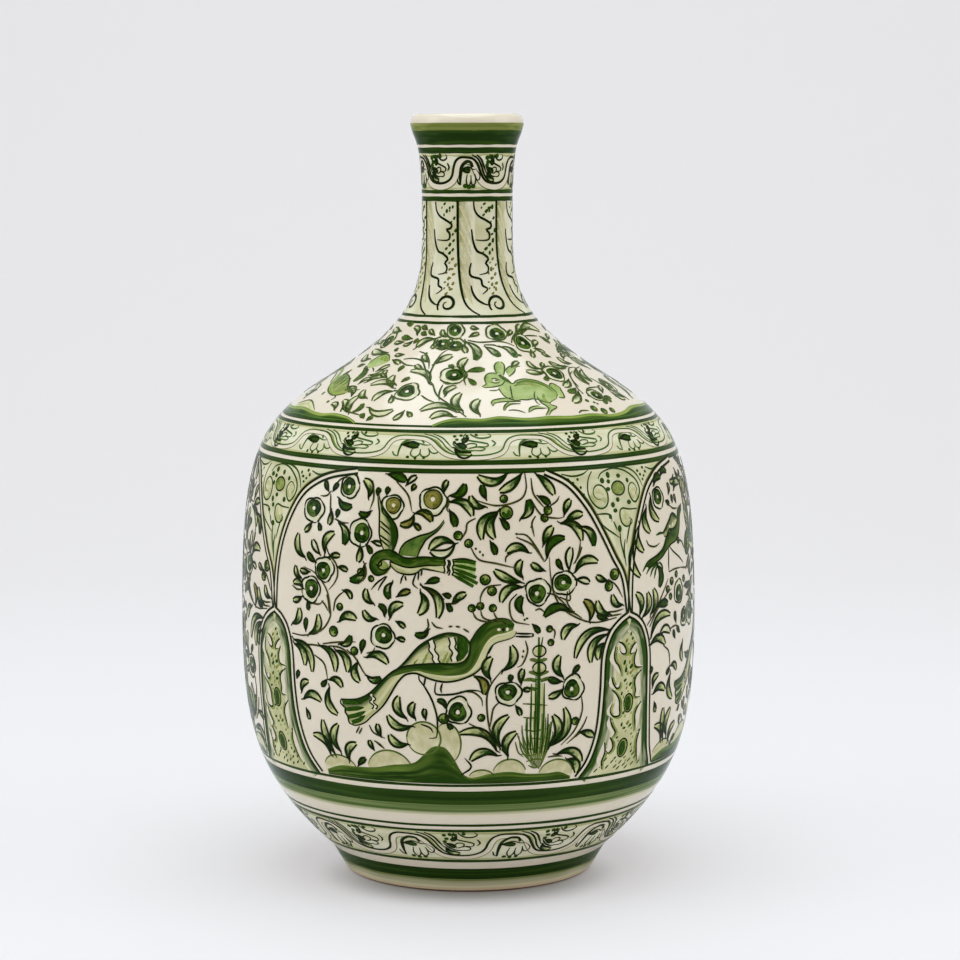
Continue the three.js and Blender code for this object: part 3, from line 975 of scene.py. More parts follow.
SHOULDER_STEMS = [
    [(-0.5, 236), (-5, 240.5), (-11, 245), (-14, 249.5), (-15.8, 251), (-17, 254), (-17.2, 259),
     (-15.5, 262)],
    [(-36, 260.2), (-30, 260.7), (-24, 259.5), (-19.4, 255), (-15.9, 250.6)],
    [(-1, 255), (-1.5, 252), (-0.8, 249.5)],
    [(0, 269.3), (8, 268.3), (19.5, 268.6), (26, 267.7), (30, 266.2)],
    [(46.2, 244), (46.5, 247), (50.1, 252), (55.3, 255), (60.5, 255)],
    [(54.7, 247), (54.8, 251), (58.6, 254), (66, 255)], [(-29, 246.5), (-26, 246.8)],
    [(37, 252), (37, 256)], [(48, 244), (52, 246), (60, 246)],
    [(-15.2, 250.3), (-17, 253.7), (-17, 257.8), (-15.2, 262.7), (-11.6, 265.1)],
    [(-17, 245), (-14.3, 243.3), (-11.6, 242.3)],
    [(-29, 263.9), (-24.2, 262.8), (-20.6, 260), (-18.8, 256.4)],
    [(-36.7, 259.3), (-32.2, 257.8), (-26.9, 257.5)],
    [(-45.2, 238.2), (-42.1, 236.6), (-39.8, 236.4), (-34.9, 235.4)],
    [(-42.5, 241.2), (-41.6, 239), (-40.7, 236.5)], [(10.3, 267.1), (16.6, 266.9), (21, 265.6)],
    [(29.1, 267.6), (30.9, 269.2), (33.1, 270.5), (37.2, 272.4), (39.4, 275)],
    [(40.5, 271), (45, 272.4), (50, 273.4), (56, 274.6)], [(44, 270.6), (50, 270.4), (56, 270)],
    [(44.6, 265.6), (48, 266.2), (51.8, 267.6)],
    [(45.5, 258.6), (47.6, 256.8), (50.5, 256.2), (54.6, 256.3)],
    [(47.6, 247), (48.4, 250), (51, 252.4), (55, 253.6)], [(-10, 249.6), (-10.6, 246.6), (-10, 243)],
    [(-34, 264.4), (-31, 266.8), (-26, 269.4), (-21, 270.2)], [(-4, 250.6), (-8.4, 250), (-11, 251.4)],
    [(37.5, 236.2), (39, 237), (42, 236.8)], [(62, 250), (64, 246), (63, 241)],
    [(-56, 249), (-52, 246.2), (-48.8, 244.5)]]
SHOULDER_BERRIES = [
    (44.9, 241, 1.2), (48.2, 243, 1.0), (47.5, 240, 0.8), (48.4, 239.3, 0.7), (44.9, 237.5, 1.8),
    (48.5, 236, 1.8), (52.7, 236, 1.5), (-55, 240, 1.0), (-64, 243, 1.1), (30, 262, 1.0), (-24, 263, 0.9)]
SHOULDER_TULIP_LEAVES = [
    (-57.4, 255.2, -53.4, 248.8, "fl"), (-53, 262.6, -71, 263), (-62, 259.2, -72, 260.8, "dl"),
    (-61, 256.6, -65.6, 255.8, "fs")]
SHOULDER_GROUND = [
    [(-91, 235.2), (-76, 235.6), (-66, 236.4), (-58, 235.4), (-52, 235), (-46, 235.6), (-40, 234.6),
     (-36, 232.6)],
    [(-10.5, 232.6), (-7.5, 234.4), (-3, 235.6), (4, 235.2), (10, 236.2), (18, 235.2), (26, 235.6),
     (34, 235.2), (42, 235.6), (50, 234.4), (58, 235), (66, 236.6), (78, 236), (91, 235.2)]]
GROUND_LINE = 232.0

# %% [markdown]
# The hare and the bird are brushed first as soft shapes, dark along the back and pale below, then
# shaded with a few darker strokes, and outlined last. Each part is two lines of points.

# %% Paint the hare
HARE_BACK = [
    (14, 253.6), (16.4, 251.4), (18.5, 249.8), (20, 250.8), (22, 251.4), (24.5, 251.7), (27, 251.4),
    (29.5, 250.8), (31.5, 249.8), (33.2, 248.2), (34.2, 246.6), (34.4, 245), (33.6, 243.8), (32.5, 242.8)]
HARE_BELLY = [
    (12, 248), (12.4, 246.6), (13.2, 244.8), (14.6, 243.6), (17, 242.6), (19, 243), (21, 242.8),
    (24, 243.2), (26.4, 242), (28.6, 241.2), (30.5, 242), (32.4, 242.7)]
HARE_FACE = (
    [(13.4, 254.5), (10, 254.6), (8, 253.6), (7.2, 252), (7.4, 250), (5.6, 248.9)],
    [(15.5, 251), (14, 249.6), (12, 249), (10, 248.6), (8, 248.5), (6.2, 248.4)])
HARE_EAR = (
    [(13.2, 254.5), (12.8, 256), (13.2, 257.8), (14.5, 259), (16, 259.6)],
    [(16, 253.6), (17, 255), (17.8, 256.6), (18.3, 258.3), (17.3, 259.5)])
HARE_FAR_EAR = (
    [(17.6, 255.6), (18.8, 256.4), (20.5, 257.2), (22.5, 257.5), (26.4, 257.2)],
    [(18.3, 253), (20, 253.8), (21.4, 254.6), (22.6, 255.6), (23.6, 257)])
HARE_LEGS = [
    ([(16, 243.8), (13, 243.8), (10.5, 243.5), (8.8, 243), (8, 242), (8.3, 240.5)],
     [(18.5, 242.2), (16, 242.3), (13, 242.4), (10, 242), (8.9, 241.5), (8.5, 240.6)]),
    ([(14, 242), (12.8, 241.2), (11.9, 239.8), (11.6, 238.6)],
     [(18, 241.3), (15, 241.2), (13, 240.2), (12, 238.5)]),
    ([(24, 240.2), (22, 239.9), (20.6, 239.3), (19.6, 237.4)],
     [(26.5, 239), (24, 239), (22, 238.8), (20, 237.6)]),
    ([(25.4, 244), (25.6, 241.6), (27, 239.7), (27, 238.4), (24.9, 235.9)],
     [(29, 241.2), (28.7, 240.4), (30.6, 239.2), (27.8, 237.8), (26.2, 236)])]
HARE_TAIL = (
    [(33.8, 248.4), (35, 249.2), (36.4, 249.1), (38, 247.4)],
    [(34, 243.2), (36, 242.9), (36.8, 244.2), (37.6, 246.2)])
HARE_LINES = [
    [(8.2, 247.2), (10, 247.1), (12, 247.5)], [(17, 249), (16.4, 246.5), (16, 244), (16.2, 242.5)],
    [(25.8, 246.2), (24.8, 245), (24.2, 243.5), (24, 241.8), (24.8, 240.4)],
    [(13.2, 238.6), (15, 238.7), (17, 238.2), (18.5, 237.3)], [(10, 252), (11.8, 252.3), (13.6, 251.4)],
    [(9.6, 250.7), (11.6, 250.2), (13.4, 250.8)], [(38, 247.4), (37.2, 245.8), (36.9, 243.8)]]


def hare(brush):
    """A running hare with long ears."""
    parts = [(HARE_BACK, HARE_BELLY), HARE_FACE, HARE_EAR, HARE_FAR_EAR, HARE_TAIL] + HARE_LEGS
    for upper, lower in parts:
        brush.fill(upper, lower, "fur")
    brush.line([(18.6, 248.8), (22, 249.6), (26, 249.4), (30, 248.2)], 2.0, "leaf")
    brush.line([(14, 253.8), (15.8, 252), (17.8, 250.2)], 2.6, "sage")
    brush.line([(20, 250), (24, 250.8), (28, 250.2), (31.5, 248.6), (33.4, 246)], 1.5, "sage")
    brush.line([(28.6, 245), (27.6, 243), (28.6, 241)], 1.6, "meadow")
    for upper, lower in parts:
        brush.lines([upper, lower], 0.75)
    brush.lines(HARE_LINES, 0.75)
    brush.dot(11.7, 251.3, 1.3, "reserve")
    brush.dot(12.1, 251.4, 0.8, "outline")


# %% Paint the shoulder bird
def shoulder_bird(brush):
    """A bird that creeps through the grass, a boulder below it and a tulip above it."""
    boulder = [(-75, 237), (-71, 238.8), (-66.6, 239.4), (-62.4, 238.2), (-58, 236)]
    brush.fill(boulder, [(degrees, 234.6) for degrees, _ in boulder], "pool")
    back = [(-69, 251.4), (-64, 251.6), (-58, 250), (-54, 247.6), (-50, 245.4)]
    breast = [(-70, 248.4), (-65, 245.2), (-60, 243.4), (-55, 242.8), (-50.4, 244)]
    brush.fill(back, breast, "leaf")
    flank = [(-86, 253.4), (-77, 252.6), (-70, 249.2), (-65, 246), (-60, 244.2), (-55, 243.6), (-50, 244.6)]
    brush.line(flank, 2.6, "meadow")
    for place in (-67, -64, -61, -58):
        brush.line([(place, 250.4), (place + 0.8, 248.6), (place + 0.4, 247)], 1.2, "deep")
    petal = [(-59, 258), (-56, 260.6), (-52, 261.9), (-48, 261.3), (-44.8, 259.4)]
    brush.fill(petal, [(-57.4, 255.8), (-54, 255.4), (-51, 256), (-48, 256.8), (-45.2, 258.4)], "fur")
    brush.line([(-53, 260), (-50, 260), (-47.4, 259.6), (-45, 258.9)], 3.0, "meadow")
    brush.lines([
        boulder, back, breast, petal, [(-88, 252), (-78, 250.8), (-70, 247.4)],
        [(-50, 245), (-47.5, 245.8), (-45, 246.2)], [(-55, 243), (-53.6, 242), (-54.4, 240.8)],
        [(-57, 256), (-54.4, 255), (-52, 254.4)], [(-51.4, 255.6), (-49.6, 255), (-48, 254)]], 0.8)
    brush.dot(-52.2, 245.6, 0.7, "outline")
    for spray in SHOULDER_TULIP_LEAVES:
        leaf(brush, *spray)


# %% Paint the shoulder
def plants(brush, stems, leaves, flowers, berries):
    """Sprays of leaves, flowers and fruit on their stems."""
    brush.lines(stems, 0.95, "vine")
    for spray in leaves:
        leaf(brush, *spray)
    for bloom in flowers:
        flower(brush, *bloom)
    for fruit in berries:
        berry(brush, *fruit)


# The shoulder is painted with paler copies of the dark pigments
shoulder_painting = Painting("shoulder_painting", 21, PALER_COPIES)
Brush(shoulder_painting).ring(231.4, 232.3, "band")
for middle in (0, 180):
    brush = Brush(shoulder_painting, middle)
    for hill in SHOULDER_GROUND:
        flat = [(degrees, GROUND_LINE) for degrees, _ in hill]
        brush.fill(hill, flat, "hill")
        brush.line([(degrees, height - 0.6) for degrees, height in hill], 1.6, "meadow")
        furrow = [(degrees + 2, 0.3 * height + 0.7 * GROUND_LINE) for degrees, height in hill[:-1]]
        brush.line(furrow, 0.9, "deep")
    plants(brush, SHOULDER_STEMS, SHOULDER_LEAVES, SHOULDER_FLOWERS, SHOULDER_BERRIES)
    hare(brush)
    shoulder_bird(brush)
shoulder_painting.finish()

# %% [markdown]
# ### Arcade
# Four arches run round the belly. Where two arches meet, a spandrel hangs between them with volutes
# and dots, and below its tip stands a pointed niche with a plant in it. Every arch line is a pair of
# dark strokes with bare glaze between, so one function draws them all.

# %% Lines of the arches and niches
NICHES = [-55.5, 42.5, 130, 217.5]
ARCH_LEFT = [
    (-22.5, 211), (-16.5, 205), (-11.8, 194.5), (-8.2, 182.5), (-4.7, 169.5), (-1.7, 159), (-0.2, 142)]
ARCH_RIGHT = [
    (26, 211), (18.5, 208.5), (13.2, 204.5), (8.7, 198), (4.8, 186), (2.1, 172.5), (0.7, 158), (0.3, 142)]
NICHE_LEFT = [
    (0, 141), (-3, 138), (-6, 132.5), (-8, 122), (-8.4, 105), (-9, 86), (-10.8, 72), (-13.5, 63.5)]
NICHE_RIGHT = [(0, 141), (3, 138), (5.4, 132.5), (7, 122), (7.4, 105), (8.2, 89), (10.2, 74), (13.5, 63.5)]
ARCH_GAP = 2.5


def double_line(brush, points):
    """A pair of dark strokes with bare glaze between them."""
    path = resampled(brush.path(points))
    edges = [offset(path, ARCH_GAP / 2), offset(path, -ARCH_GAP / 2)]
    brush.painting.stroke(*edges, "reserve")
    for edge in edges:
        brush.draw(edge, 1.25, "outline", (1, 1))


# %% Paint a spandrel
SPANDREL_SCROLLS = [
    [(-9, 210), (-10.3, 207), (-11, 203), (-10.9, 199), (-10, 195.5), (-8.5, 193), (-7, 192.6),
     (-5.7, 194), (-5.1, 197), (-5.3, 200.5), (-6.5, 203), (-8, 203.6), (-9.2, 202), (-9.5, 199.5),
     (-8.7, 197.3), (-7.3, 196.6)],
    [(-7.3, 206.5), (-6.3, 208.7), (-4, 210.2), (-1.5, 210.6), (1.5, 209.5), (4, 207), (5.8, 204),
     (6.5, 200.5), (6.1, 197.5), (5.3, 195.5), (4.1, 194), (2.9, 195.5), (2.2, 199), (2.7, 202),
     (3.8, 203.2), (5, 202), (5.4, 199.5), (4.5, 197.8)],
    [(-1, 211), (1.5, 210.9), (4, 209.8), (6, 207.5), (7.3, 204), (8, 200.8)],
    [(4.4, 190.8), (1.5, 191), (-0.7, 191.8), (-1.7, 190.5), (-1.8, 187), (-1.2, 184.5), (0, 183),
     (1.5, 183.6), (2.3, 185.5), (1.2, 187)],
    [(-9, 190), (-7, 190), (-5.5, 189.6), (-4.6, 188), (-4.7, 186)],
    [(-4.1, 186), (-3.5, 183.5), (-3.2, 181.8)], [(-8.3, 186), (-6.5, 183), (-4.5, 180.5), (-2.5, 178)],
    [(-2.3, 181), (-2.2, 176), (-1.7, 172), (-1.3, 168)],
    [(-0.7, 177), (-1.2, 173), (-1.1, 169), (-0.7, 164)], [(2, 186.5), (0.7, 181), (-0.3, 175)],
    [(-18, 209.6), (-15, 208.4), (-12, 209), (-10, 210.8)], [(11, 209.4), (14, 208), (18, 210)]]
SPANDREL_DOTS = [
    (-4, 207.8, 1.4), (-6.2, 205.4, 1.4), (-4.2, 204.8, 1.1), (-4.7, 201.3, 1.2), (-0.5, 207, 1.2),
    (2.4, 204.5, 1.1), (-3.8, 193.8, 1.3), (-2, 196, 1.2), (1.8, 194.3, 1.3), (-3.2, 191, 1.2),
    (-2.3, 182.3, 1.5), (-5, 188.4, 1.1), (7.2, 208.2, 0.8), (8, 206.4, 0.8), (8.6, 204, 0.7),
    (9.6, 209.4, 0.8), (10.4, 207.4, 0.8), (9.4, 205.6, 0.7), (-18, 208.4, 0.8), (-16.4, 207, 0.8),
    (-15, 205.2, 0.7), (-13.6, 206.8, 0.7), (-13, 203, 0.7), (-12.4, 199.6, 0.7)]


def oval(brush, degrees, height, half_width, half_height, pigment, rim=0.0, ink="outline"):
    """A filled oval, with an outline if it has a rim."""
    upper = ellipse(np.linspace(0.05, math.pi - 0.05, 14), -half_width, half_height)
    lower = upper * (1, -1)
    edges = [brush.near(degrees, height, edge) for edge in (upper, lower)]
    brush.painting.stroke(*edges, pigment, 3)
    if rim:
        round_trip = np.vstack([upper, lower[::-1], upper[:1]])
        brush.draw(brush.near(degrees, height, round_trip), rim, ink, (0.9, 0.5))


def spandrel(brush):
    """The ornament between two arches."""
    left = offset(brush.path(ARCH_LEFT), 1.6)
    right = offset(brush.path(ARCH_RIGHT), -1.6)
    brush.between(left, right, "wash")
    oval(brush, -7.9, 199, 5.0, 6.0, "pool")
    oval(brush, 4.3, 198.6, 3.8, 5.4, "pool")
    oval(brush, 0.2, 187.4, 3.6, 4.4, "pool")
    oval(brush, -1.3, 201.3, 4.2, 3.4, "leaf", 0.8)
    brush.lines(SPANDREL_SCROLLS, 0.9, "deep")
    for spot in SPANDREL_DOTS:
        brush.dot(*spot)
    for edge in (left, right):
        brush.draw(edge, 1.8, "olive", (0.3, 1))


# %% Paint a niche
NICHE_SCROLLS = [
    [(-3.5, 128.4), (-1.9, 126.5), (-1, 123.4), (-1.5, 122), (-2.5, 122.6), (-3.2, 124)],
    [(-4.5, 126.5), (-4.9, 122), (-4.5, 119), (-3.5, 116.8), (-2.8, 113.8), (-2.6, 111.5)],
    [(-5.7, 112), (-5.1, 108.5), (-3.9, 105.8), (-3, 106.5), (-2.9, 109)],
    [(-5.5, 105.5), (-3.9, 102.8), (-2.9, 99.5), (-2.7, 95.5), (-2.5, 92.5), (-4, 92), (-5.3, 93.5),
     (-5.7, 96), (-5, 99)],
    [(2.5, 127), (1.3, 125.5), (0.4, 123), (0.5, 121.5), (1.4, 122)],
    [(2.7, 123.5), (1.9, 120), (1.8, 117), (2.5, 114.8), (4.7, 114.4)],
    [(4.5, 113), (2.7, 110.5), (2.1, 107.5), (2.5, 103.5), (2.4, 100.3), (4.3, 99.8)],
    [(5, 97.5), (3.5, 94.5), (2.9, 91), (3.3, 87), (3.7, 83)],
    [(-5, 82), (-3.9, 79), (-3.7, 76), (-4.9, 74), (-5.7, 75.5)],
    [(-5.6, 92), (-4.8, 88), (-3.4, 84), (-4.4, 81.6)], [(-6.6, 80), (-6, 75), (-6.6, 70), (-6, 66)],
    [(5.6, 84), (4.9, 78), (5.6, 72), (6.8, 67)]]
NICHE_DOTS = [
    (0.6, 131.4, 0.9), (-0.8, 128.4, 1.1), (1.2, 129, 0.8), (-1.5, 118, 1.2), (0.2, 117.8, 0.9),
    (0.8, 115.6, 1.3), (-1, 114.3, 1.3), (0.7, 112.6, 1.0), (-1.2, 109.3, 1.0), (0.6, 107, 1.1),
    (-0.6, 105.4, 0.8), (-2.2, 103, 0.9), (1.8, 109.6, 0.7), (0.9, 94.4, 0.8), (-1.2, 93.4, 0.9),
    (-1.5, 87.6, 1.0), (0.6, 88, 1.2), (1.6, 86.6, 0.9), (-0.4, 85.6, 0.8), (2.4, 82, 0.8),
    (-2.6, 81.4, 0.8), (-2.2, 71, 0.8), (1.4, 70.4, 0.9), (2.8, 76.6, 0.8), (3.4, 73, 0.8)]
NICHE_SEEDS = [(0.2, 97.8, 3.0, 4.6), (-0.2, 75.6, 3.3, 4.8)]
NICHE_VERGE = 8.0
NICHE_DASHES = [
    (-4.4, 67), (-3, 69.4), (-1.6, 66.6), (0, 68.4), (1.6, 66.8), (3.2, 68.6), (4.8, 66.4), (5.4, 69.6),
    (-6.4, 68), (-8, 66), (7.4, 66.4), (-0.4, 65.4), (2.6, 65.2), (-5.4, 71), (4.4, 71.6)]


def niche(brush):
    """The plant in a pointed niche: torn leaves along both walls, seeds and a drift of dots between."""
    walls = [resampled(brush.path(wall)) for wall in (NICHE_LEFT, NICHE_RIGHT)]
    inside = [offset(wall, side * 1.5) for wall, side in zip(walls, (1, -1))]
    brush.between(*inside, "pool")
    for wall, side in zip(walls, (1, -1)):
        brush.painting.stroke(
            offset(wall, side * 1.3)[2:], offset(wall, side * NICHE_VERGE)[2:], "verge", 4)
    for lobe in NICHE_SCROLLS:
        wall_side = -1 if lobe[len(lobe) // 2][0] < 0 else 1
        bulge = 1.9 * wall_side * np.sin(np.linspace(0.1, math.pi - 0.1, len(lobe)))
        torn_edge = [(degrees + out, height + 0.6) for (degrees, height), out in zip(lobe, bulge)]
        brush.fill(lobe, torn_edge, "reserve")
        brush.line([(degrees - 0.5 * wall_side, height - 0.4) for degrees, height in lobe], 1.8, "leaf")
    brush.lines(NICHE_SCROLLS, 1.0)
    for degrees, height, half_width, half_height in NICHE_SEEDS:
        oval(brush, degrees, height, half_width, half_height, "leaf", 0.8)
        oval(brush, degrees - 0.1, height - 0.2, 0.65 * half_width, 0.8 * half_height, "deep")
    for number, (degrees, height, radius) in enumerate(NICHE_DOTS):
        brush.dab(degrees, height, radius, "olive" if number % 3 == 1 else "deep")
        brush.dab(degrees + 0.6, height - 1.8, 0.8 * radius, "leaf")
    for degrees, height in NICHE_DASHES:
        brush.line([(degrees - 0.5, height - 0.9), (degrees + 0.5, height + 0.9)], 0.9, "deep")


# %% Paint the arcade
arcade_painting = Painting("arcade_painting", 31)
for middle in NICHES:
    brush = Brush(arcade_painting, middle)
    spandrel(brush)
    niche(brush)
    for line in (ARCH_LEFT, ARCH_RIGHT, NICHE_LEFT, NICHE_RIGHT):
        double_line(brush, line)
arcade_painting.finish()

# %% [markdown]
# ### Panels
# In each arch two birds live among flowering sprays: one flies above, a tall one stands below on a
# stony bank beside a palm-like plant. The panels all follow one design, squeezed to the width of
# their arch, and the brush's own chance makes each one a little different.

# %% Leaves of a panel
PANEL_LEAVES = [
    (-37.5, 201, -39, 206, "fs"), (-36, 201, -34.5, 205, "fs"), (-34, 198, -29.5, 194.5, "fr"),
    (-25.5, 199, -27.5, 208, "dr"), (-24.5, 193, -28, 192, "fl"), (-23, 200.5, -22.5, 204, "fs"),
    (-20.5, 201, -20, 204.5, "fs"), (-20.8, 210, -15.3, 207, "fs"), (-15.5, 205.5, -12.8, 210, "os"),
    (-14, 203, -13, 206, "ys"), (-6, 202.5, -5, 208.5), (-4.5, 201, -0.5, 207, "fr"),
    (-4.5, 198, 1.5, 191, "dl"), (-4.5, 194, -3, 186, "fs"), (-13, 192.5, -8.5, 188.5, "yl"),
    (-13.3, 192, -17, 187, "yl"), (-13.5, 188, -11.5, 184.5, "ys"), (-34, 189, -33.5, 193, "fs"),
    (-36, 192, -36.5, 184.5), (-42, 185.5, -44.5, 180.5), (-39.7, 185.5, -39, 181.5, "fs"),
    (-37, 171.5, -34.2, 182.5, "dl"), (-33.5, 186.5, -31.5, 175.5, "tl"),
    (-43.5, 168.5, -46.5, 180.5, "dl"), (-38.7, 171, -41.5, 178, "os"), (-40, 167, -43, 171.5, "fs"),
    (-35.7, 170, -32.3, 171), (-33, 165.5, -30, 164), (-27, 176.5, -27.5, 168),
    (-23.8, 178.5, -21, 177, "os"), (-25.3, 177, -23.8, 172.5, "fs"), (-25.7, 167.5, -30, 159.5, "tl"),
    (-42, 162, -45.5, 162.5), (-44.5, 149.5, -48, 147), (-44, 153.5, -48, 155.5, "dr"),
    (-44.7, 158.5, -47, 164.5, "dl"), (-42.5, 148, -42.3, 143, "fs"), (-42, 132, -38.7, 143, "dr"),
    (-43, 133.5, -42.7, 140, "fs"), (-48, 135.7, -45.2, 144.6, "dr"), (-31.5, 154.5, -29, 150.5, "dl"),
    (-32.5, 139.5, -27.3, 141.5, "dl"), (-32.5, 129, -29, 134, "tr"), (-26.3, 126, -25.4, 132.5, "fs"),
    (-23, 149.5, -25.2, 157, "dl"), (-18.3, 160, -19, 151.5, "tr"), (-17, 153.5, -13.5, 156.5, "ys"),
    (-18.8, 143, -15.3, 150.5, "dl"), (-20.3, 144, -22, 149.5, "fr"), (-22.3, 142.5, -26, 146.5, "dl"),
    (-17.3, 141.5, -15, 138.5), (-17.3, 133.5, -15, 132.5), (-11.5, 156, -12, 144.5, "dl"),
    (-11, 158.5, -7, 142.5, "dl"), (-10, 160, -6.5, 162, "fs"), (-6, 155, -4, 153.5, "fs"),
    (-3.7, 151, -0.2, 156), (-5.2, 150.5, -4, 146.5, "fs"), (-9.5, 138.5, -13, 136, "fl"),
    (-25, 123.5, -19, 121, "dl"), (-47.5, 128, -40.5, 112.5, "dl"), (-47.3, 126, -43.2, 115.5, "dl"),
    (-38.5, 127, -33.4, 114.3, "dl"), (-33.7, 125.7, -30, 114.8, "dl"), (-27.4, 121, -26.9, 110.8, "dr"),
    (-25, 115, -21, 114.5, "tr"), (-36.5, 111, -38.5, 107.5, "fs"), (-35.7, 111, -31.6, 107.8, "dl"),
    (-35.7, 107.5, -33.4, 93.5, "dr"), (-46.5, 109.5, -45.5, 113.5, "fs"), (-45, 103, -42.2, 109.3, "dl"),
    (-44.5, 99.5, -38, 100, "dl"), (-43.8, 95, -43, 89.5), (-35.7, 74.5, -38.7, 92.5),
    (-33.7, 76, -33.7, 91, "dl"), (-37.2, 74, -42.7, 83.5, "dr"), (-31.4, 72, -28.6, 82, "dl"),
    (-29, 70, -26.4, 74.5, "fs"), (-24, 79, -25.2, 84), (-21.8, 86, -22.6, 92.5),
    (-15, 95.5, -17, 107, "dl"), (-12.8, 95.5, -13, 104, "dl"), (-10.3, 95.5, -10.5, 101),
    (-13.8, 92, -20.3, 97, "dl"), (-15, 83, -20, 87.5, "dl"), (-5.5, 101, -7.7, 105, "fr"),
    (-5.2, 93.5, -4, 90.5, "fs"), (10, 211, 1.8, 210, "dl"), (4.5, 199.5, 3.5, 206.5, "fs"),
    (4.3, 196, 0.3, 201.5, "dl"), (13.6, 210.5, 7.3, 202), (12.8, 190, 15, 199.5, "tr"),
    (7.3, 193.5, 3, 179.5, "dr"), (7.1, 192.5, 6.3, 180, "dr"), (7.8, 190, 9.8, 184.5, "fs"),
    (17.6, 210, 22.2, 199.5), (17.6, 200, 20.7, 195.5, "fs"), (24.2, 191, 26.4, 198.5),
    (24.7, 188.5, 29.7, 191), (22.9, 187, 29, 177.5, "dl"), (27.7, 184.5, 32.2, 174.5, "tl"),
    (18.4, 177.5, 21.2, 186.5), (19.2, 171, 24.4, 181, "fl"), (5.3, 179.5, 6.6, 173, "fs"),
    (14.6, 174, 8.6, 174.5, "dr"), (13.1, 162.5, 12.9, 171.5, "dl"), (18.4, 165.5, 14.9, 169.5),
    (12.6, 160.5, 5.6, 167), (12.9, 158, 7.3, 150.5, "dr"), (13.1, 145.5, 12.9, 154.5, "fl"),
    (23.2, 165.5, 21.7, 171, "fs"), (24.9, 165, 25.7, 176.5, "os"), (26.4, 163.5, 33.5, 168, "dl"),
    (26.7, 160, 30.7, 158, "os"), (35.5, 158.5, 32, 161.5), (30.2, 140, 28.5, 151, "yr"),
    (36.3, 142.5, 32.2, 150, "dl"), (35.3, 140.5, 32.2, 143, "fs"), (40.3, 146, 36.8, 152, "dl"),
    (25.2, 145, 17.6, 143.5, "fr"), (15.4, 140, 17.1, 135.5, "fs"), (27, 138.5, 22.7, 131.5, "dr"),
    (36, 134.7, 25.4, 121.7, "dr"), (35.3, 132.7, 30.2, 118.8, "dr"), (34.8, 128.7, 32.7, 120.2, "dr"),
    (8.1, 118.8, 10.3, 131.7, "dr"), (5.3, 114.8, 5.6, 126.2, "dl"), (12.6, 112.3, 13.1, 120),
    (1.3, 116.3, 3.8, 106.8, "yl"), (10, 113.5, 10.3, 117, "fs"), (12.8, 109, 15, 109),
    (11.3, 101.5, 12.6, 96.5), (7.8, 82, 9.8, 98.5, "dl"), (9.8, 77, 11.8, 90, "dl"),
    (6.8, 80, -3, 89.5, "dr"), (7.1, 77.5, -0.2, 75, "dr"), (23.2, 114.3, 22.2, 125.7, "dl"),
    (25.7, 115, 27.7, 119.5, "fs"), (22.9, 108.3, 19.1, 104.8), (22.7, 112.3, 19, 114.5, "fs"),
    (20.2, 81, 23.9, 101, "dr"), (20.2, 82, 20.7, 97.5, "dr"), (28.2, 86.5, 32.7, 83.5),
    (22.2, 76.5, 30.2, 71, "dl"), (25.2, 73.5, 28.7, 65.5, "dl"), (-3.2, 178.8, -9.8, 175.4, "dr"),
    (-3.2, 178.8, -9.6, 175, "ol")]

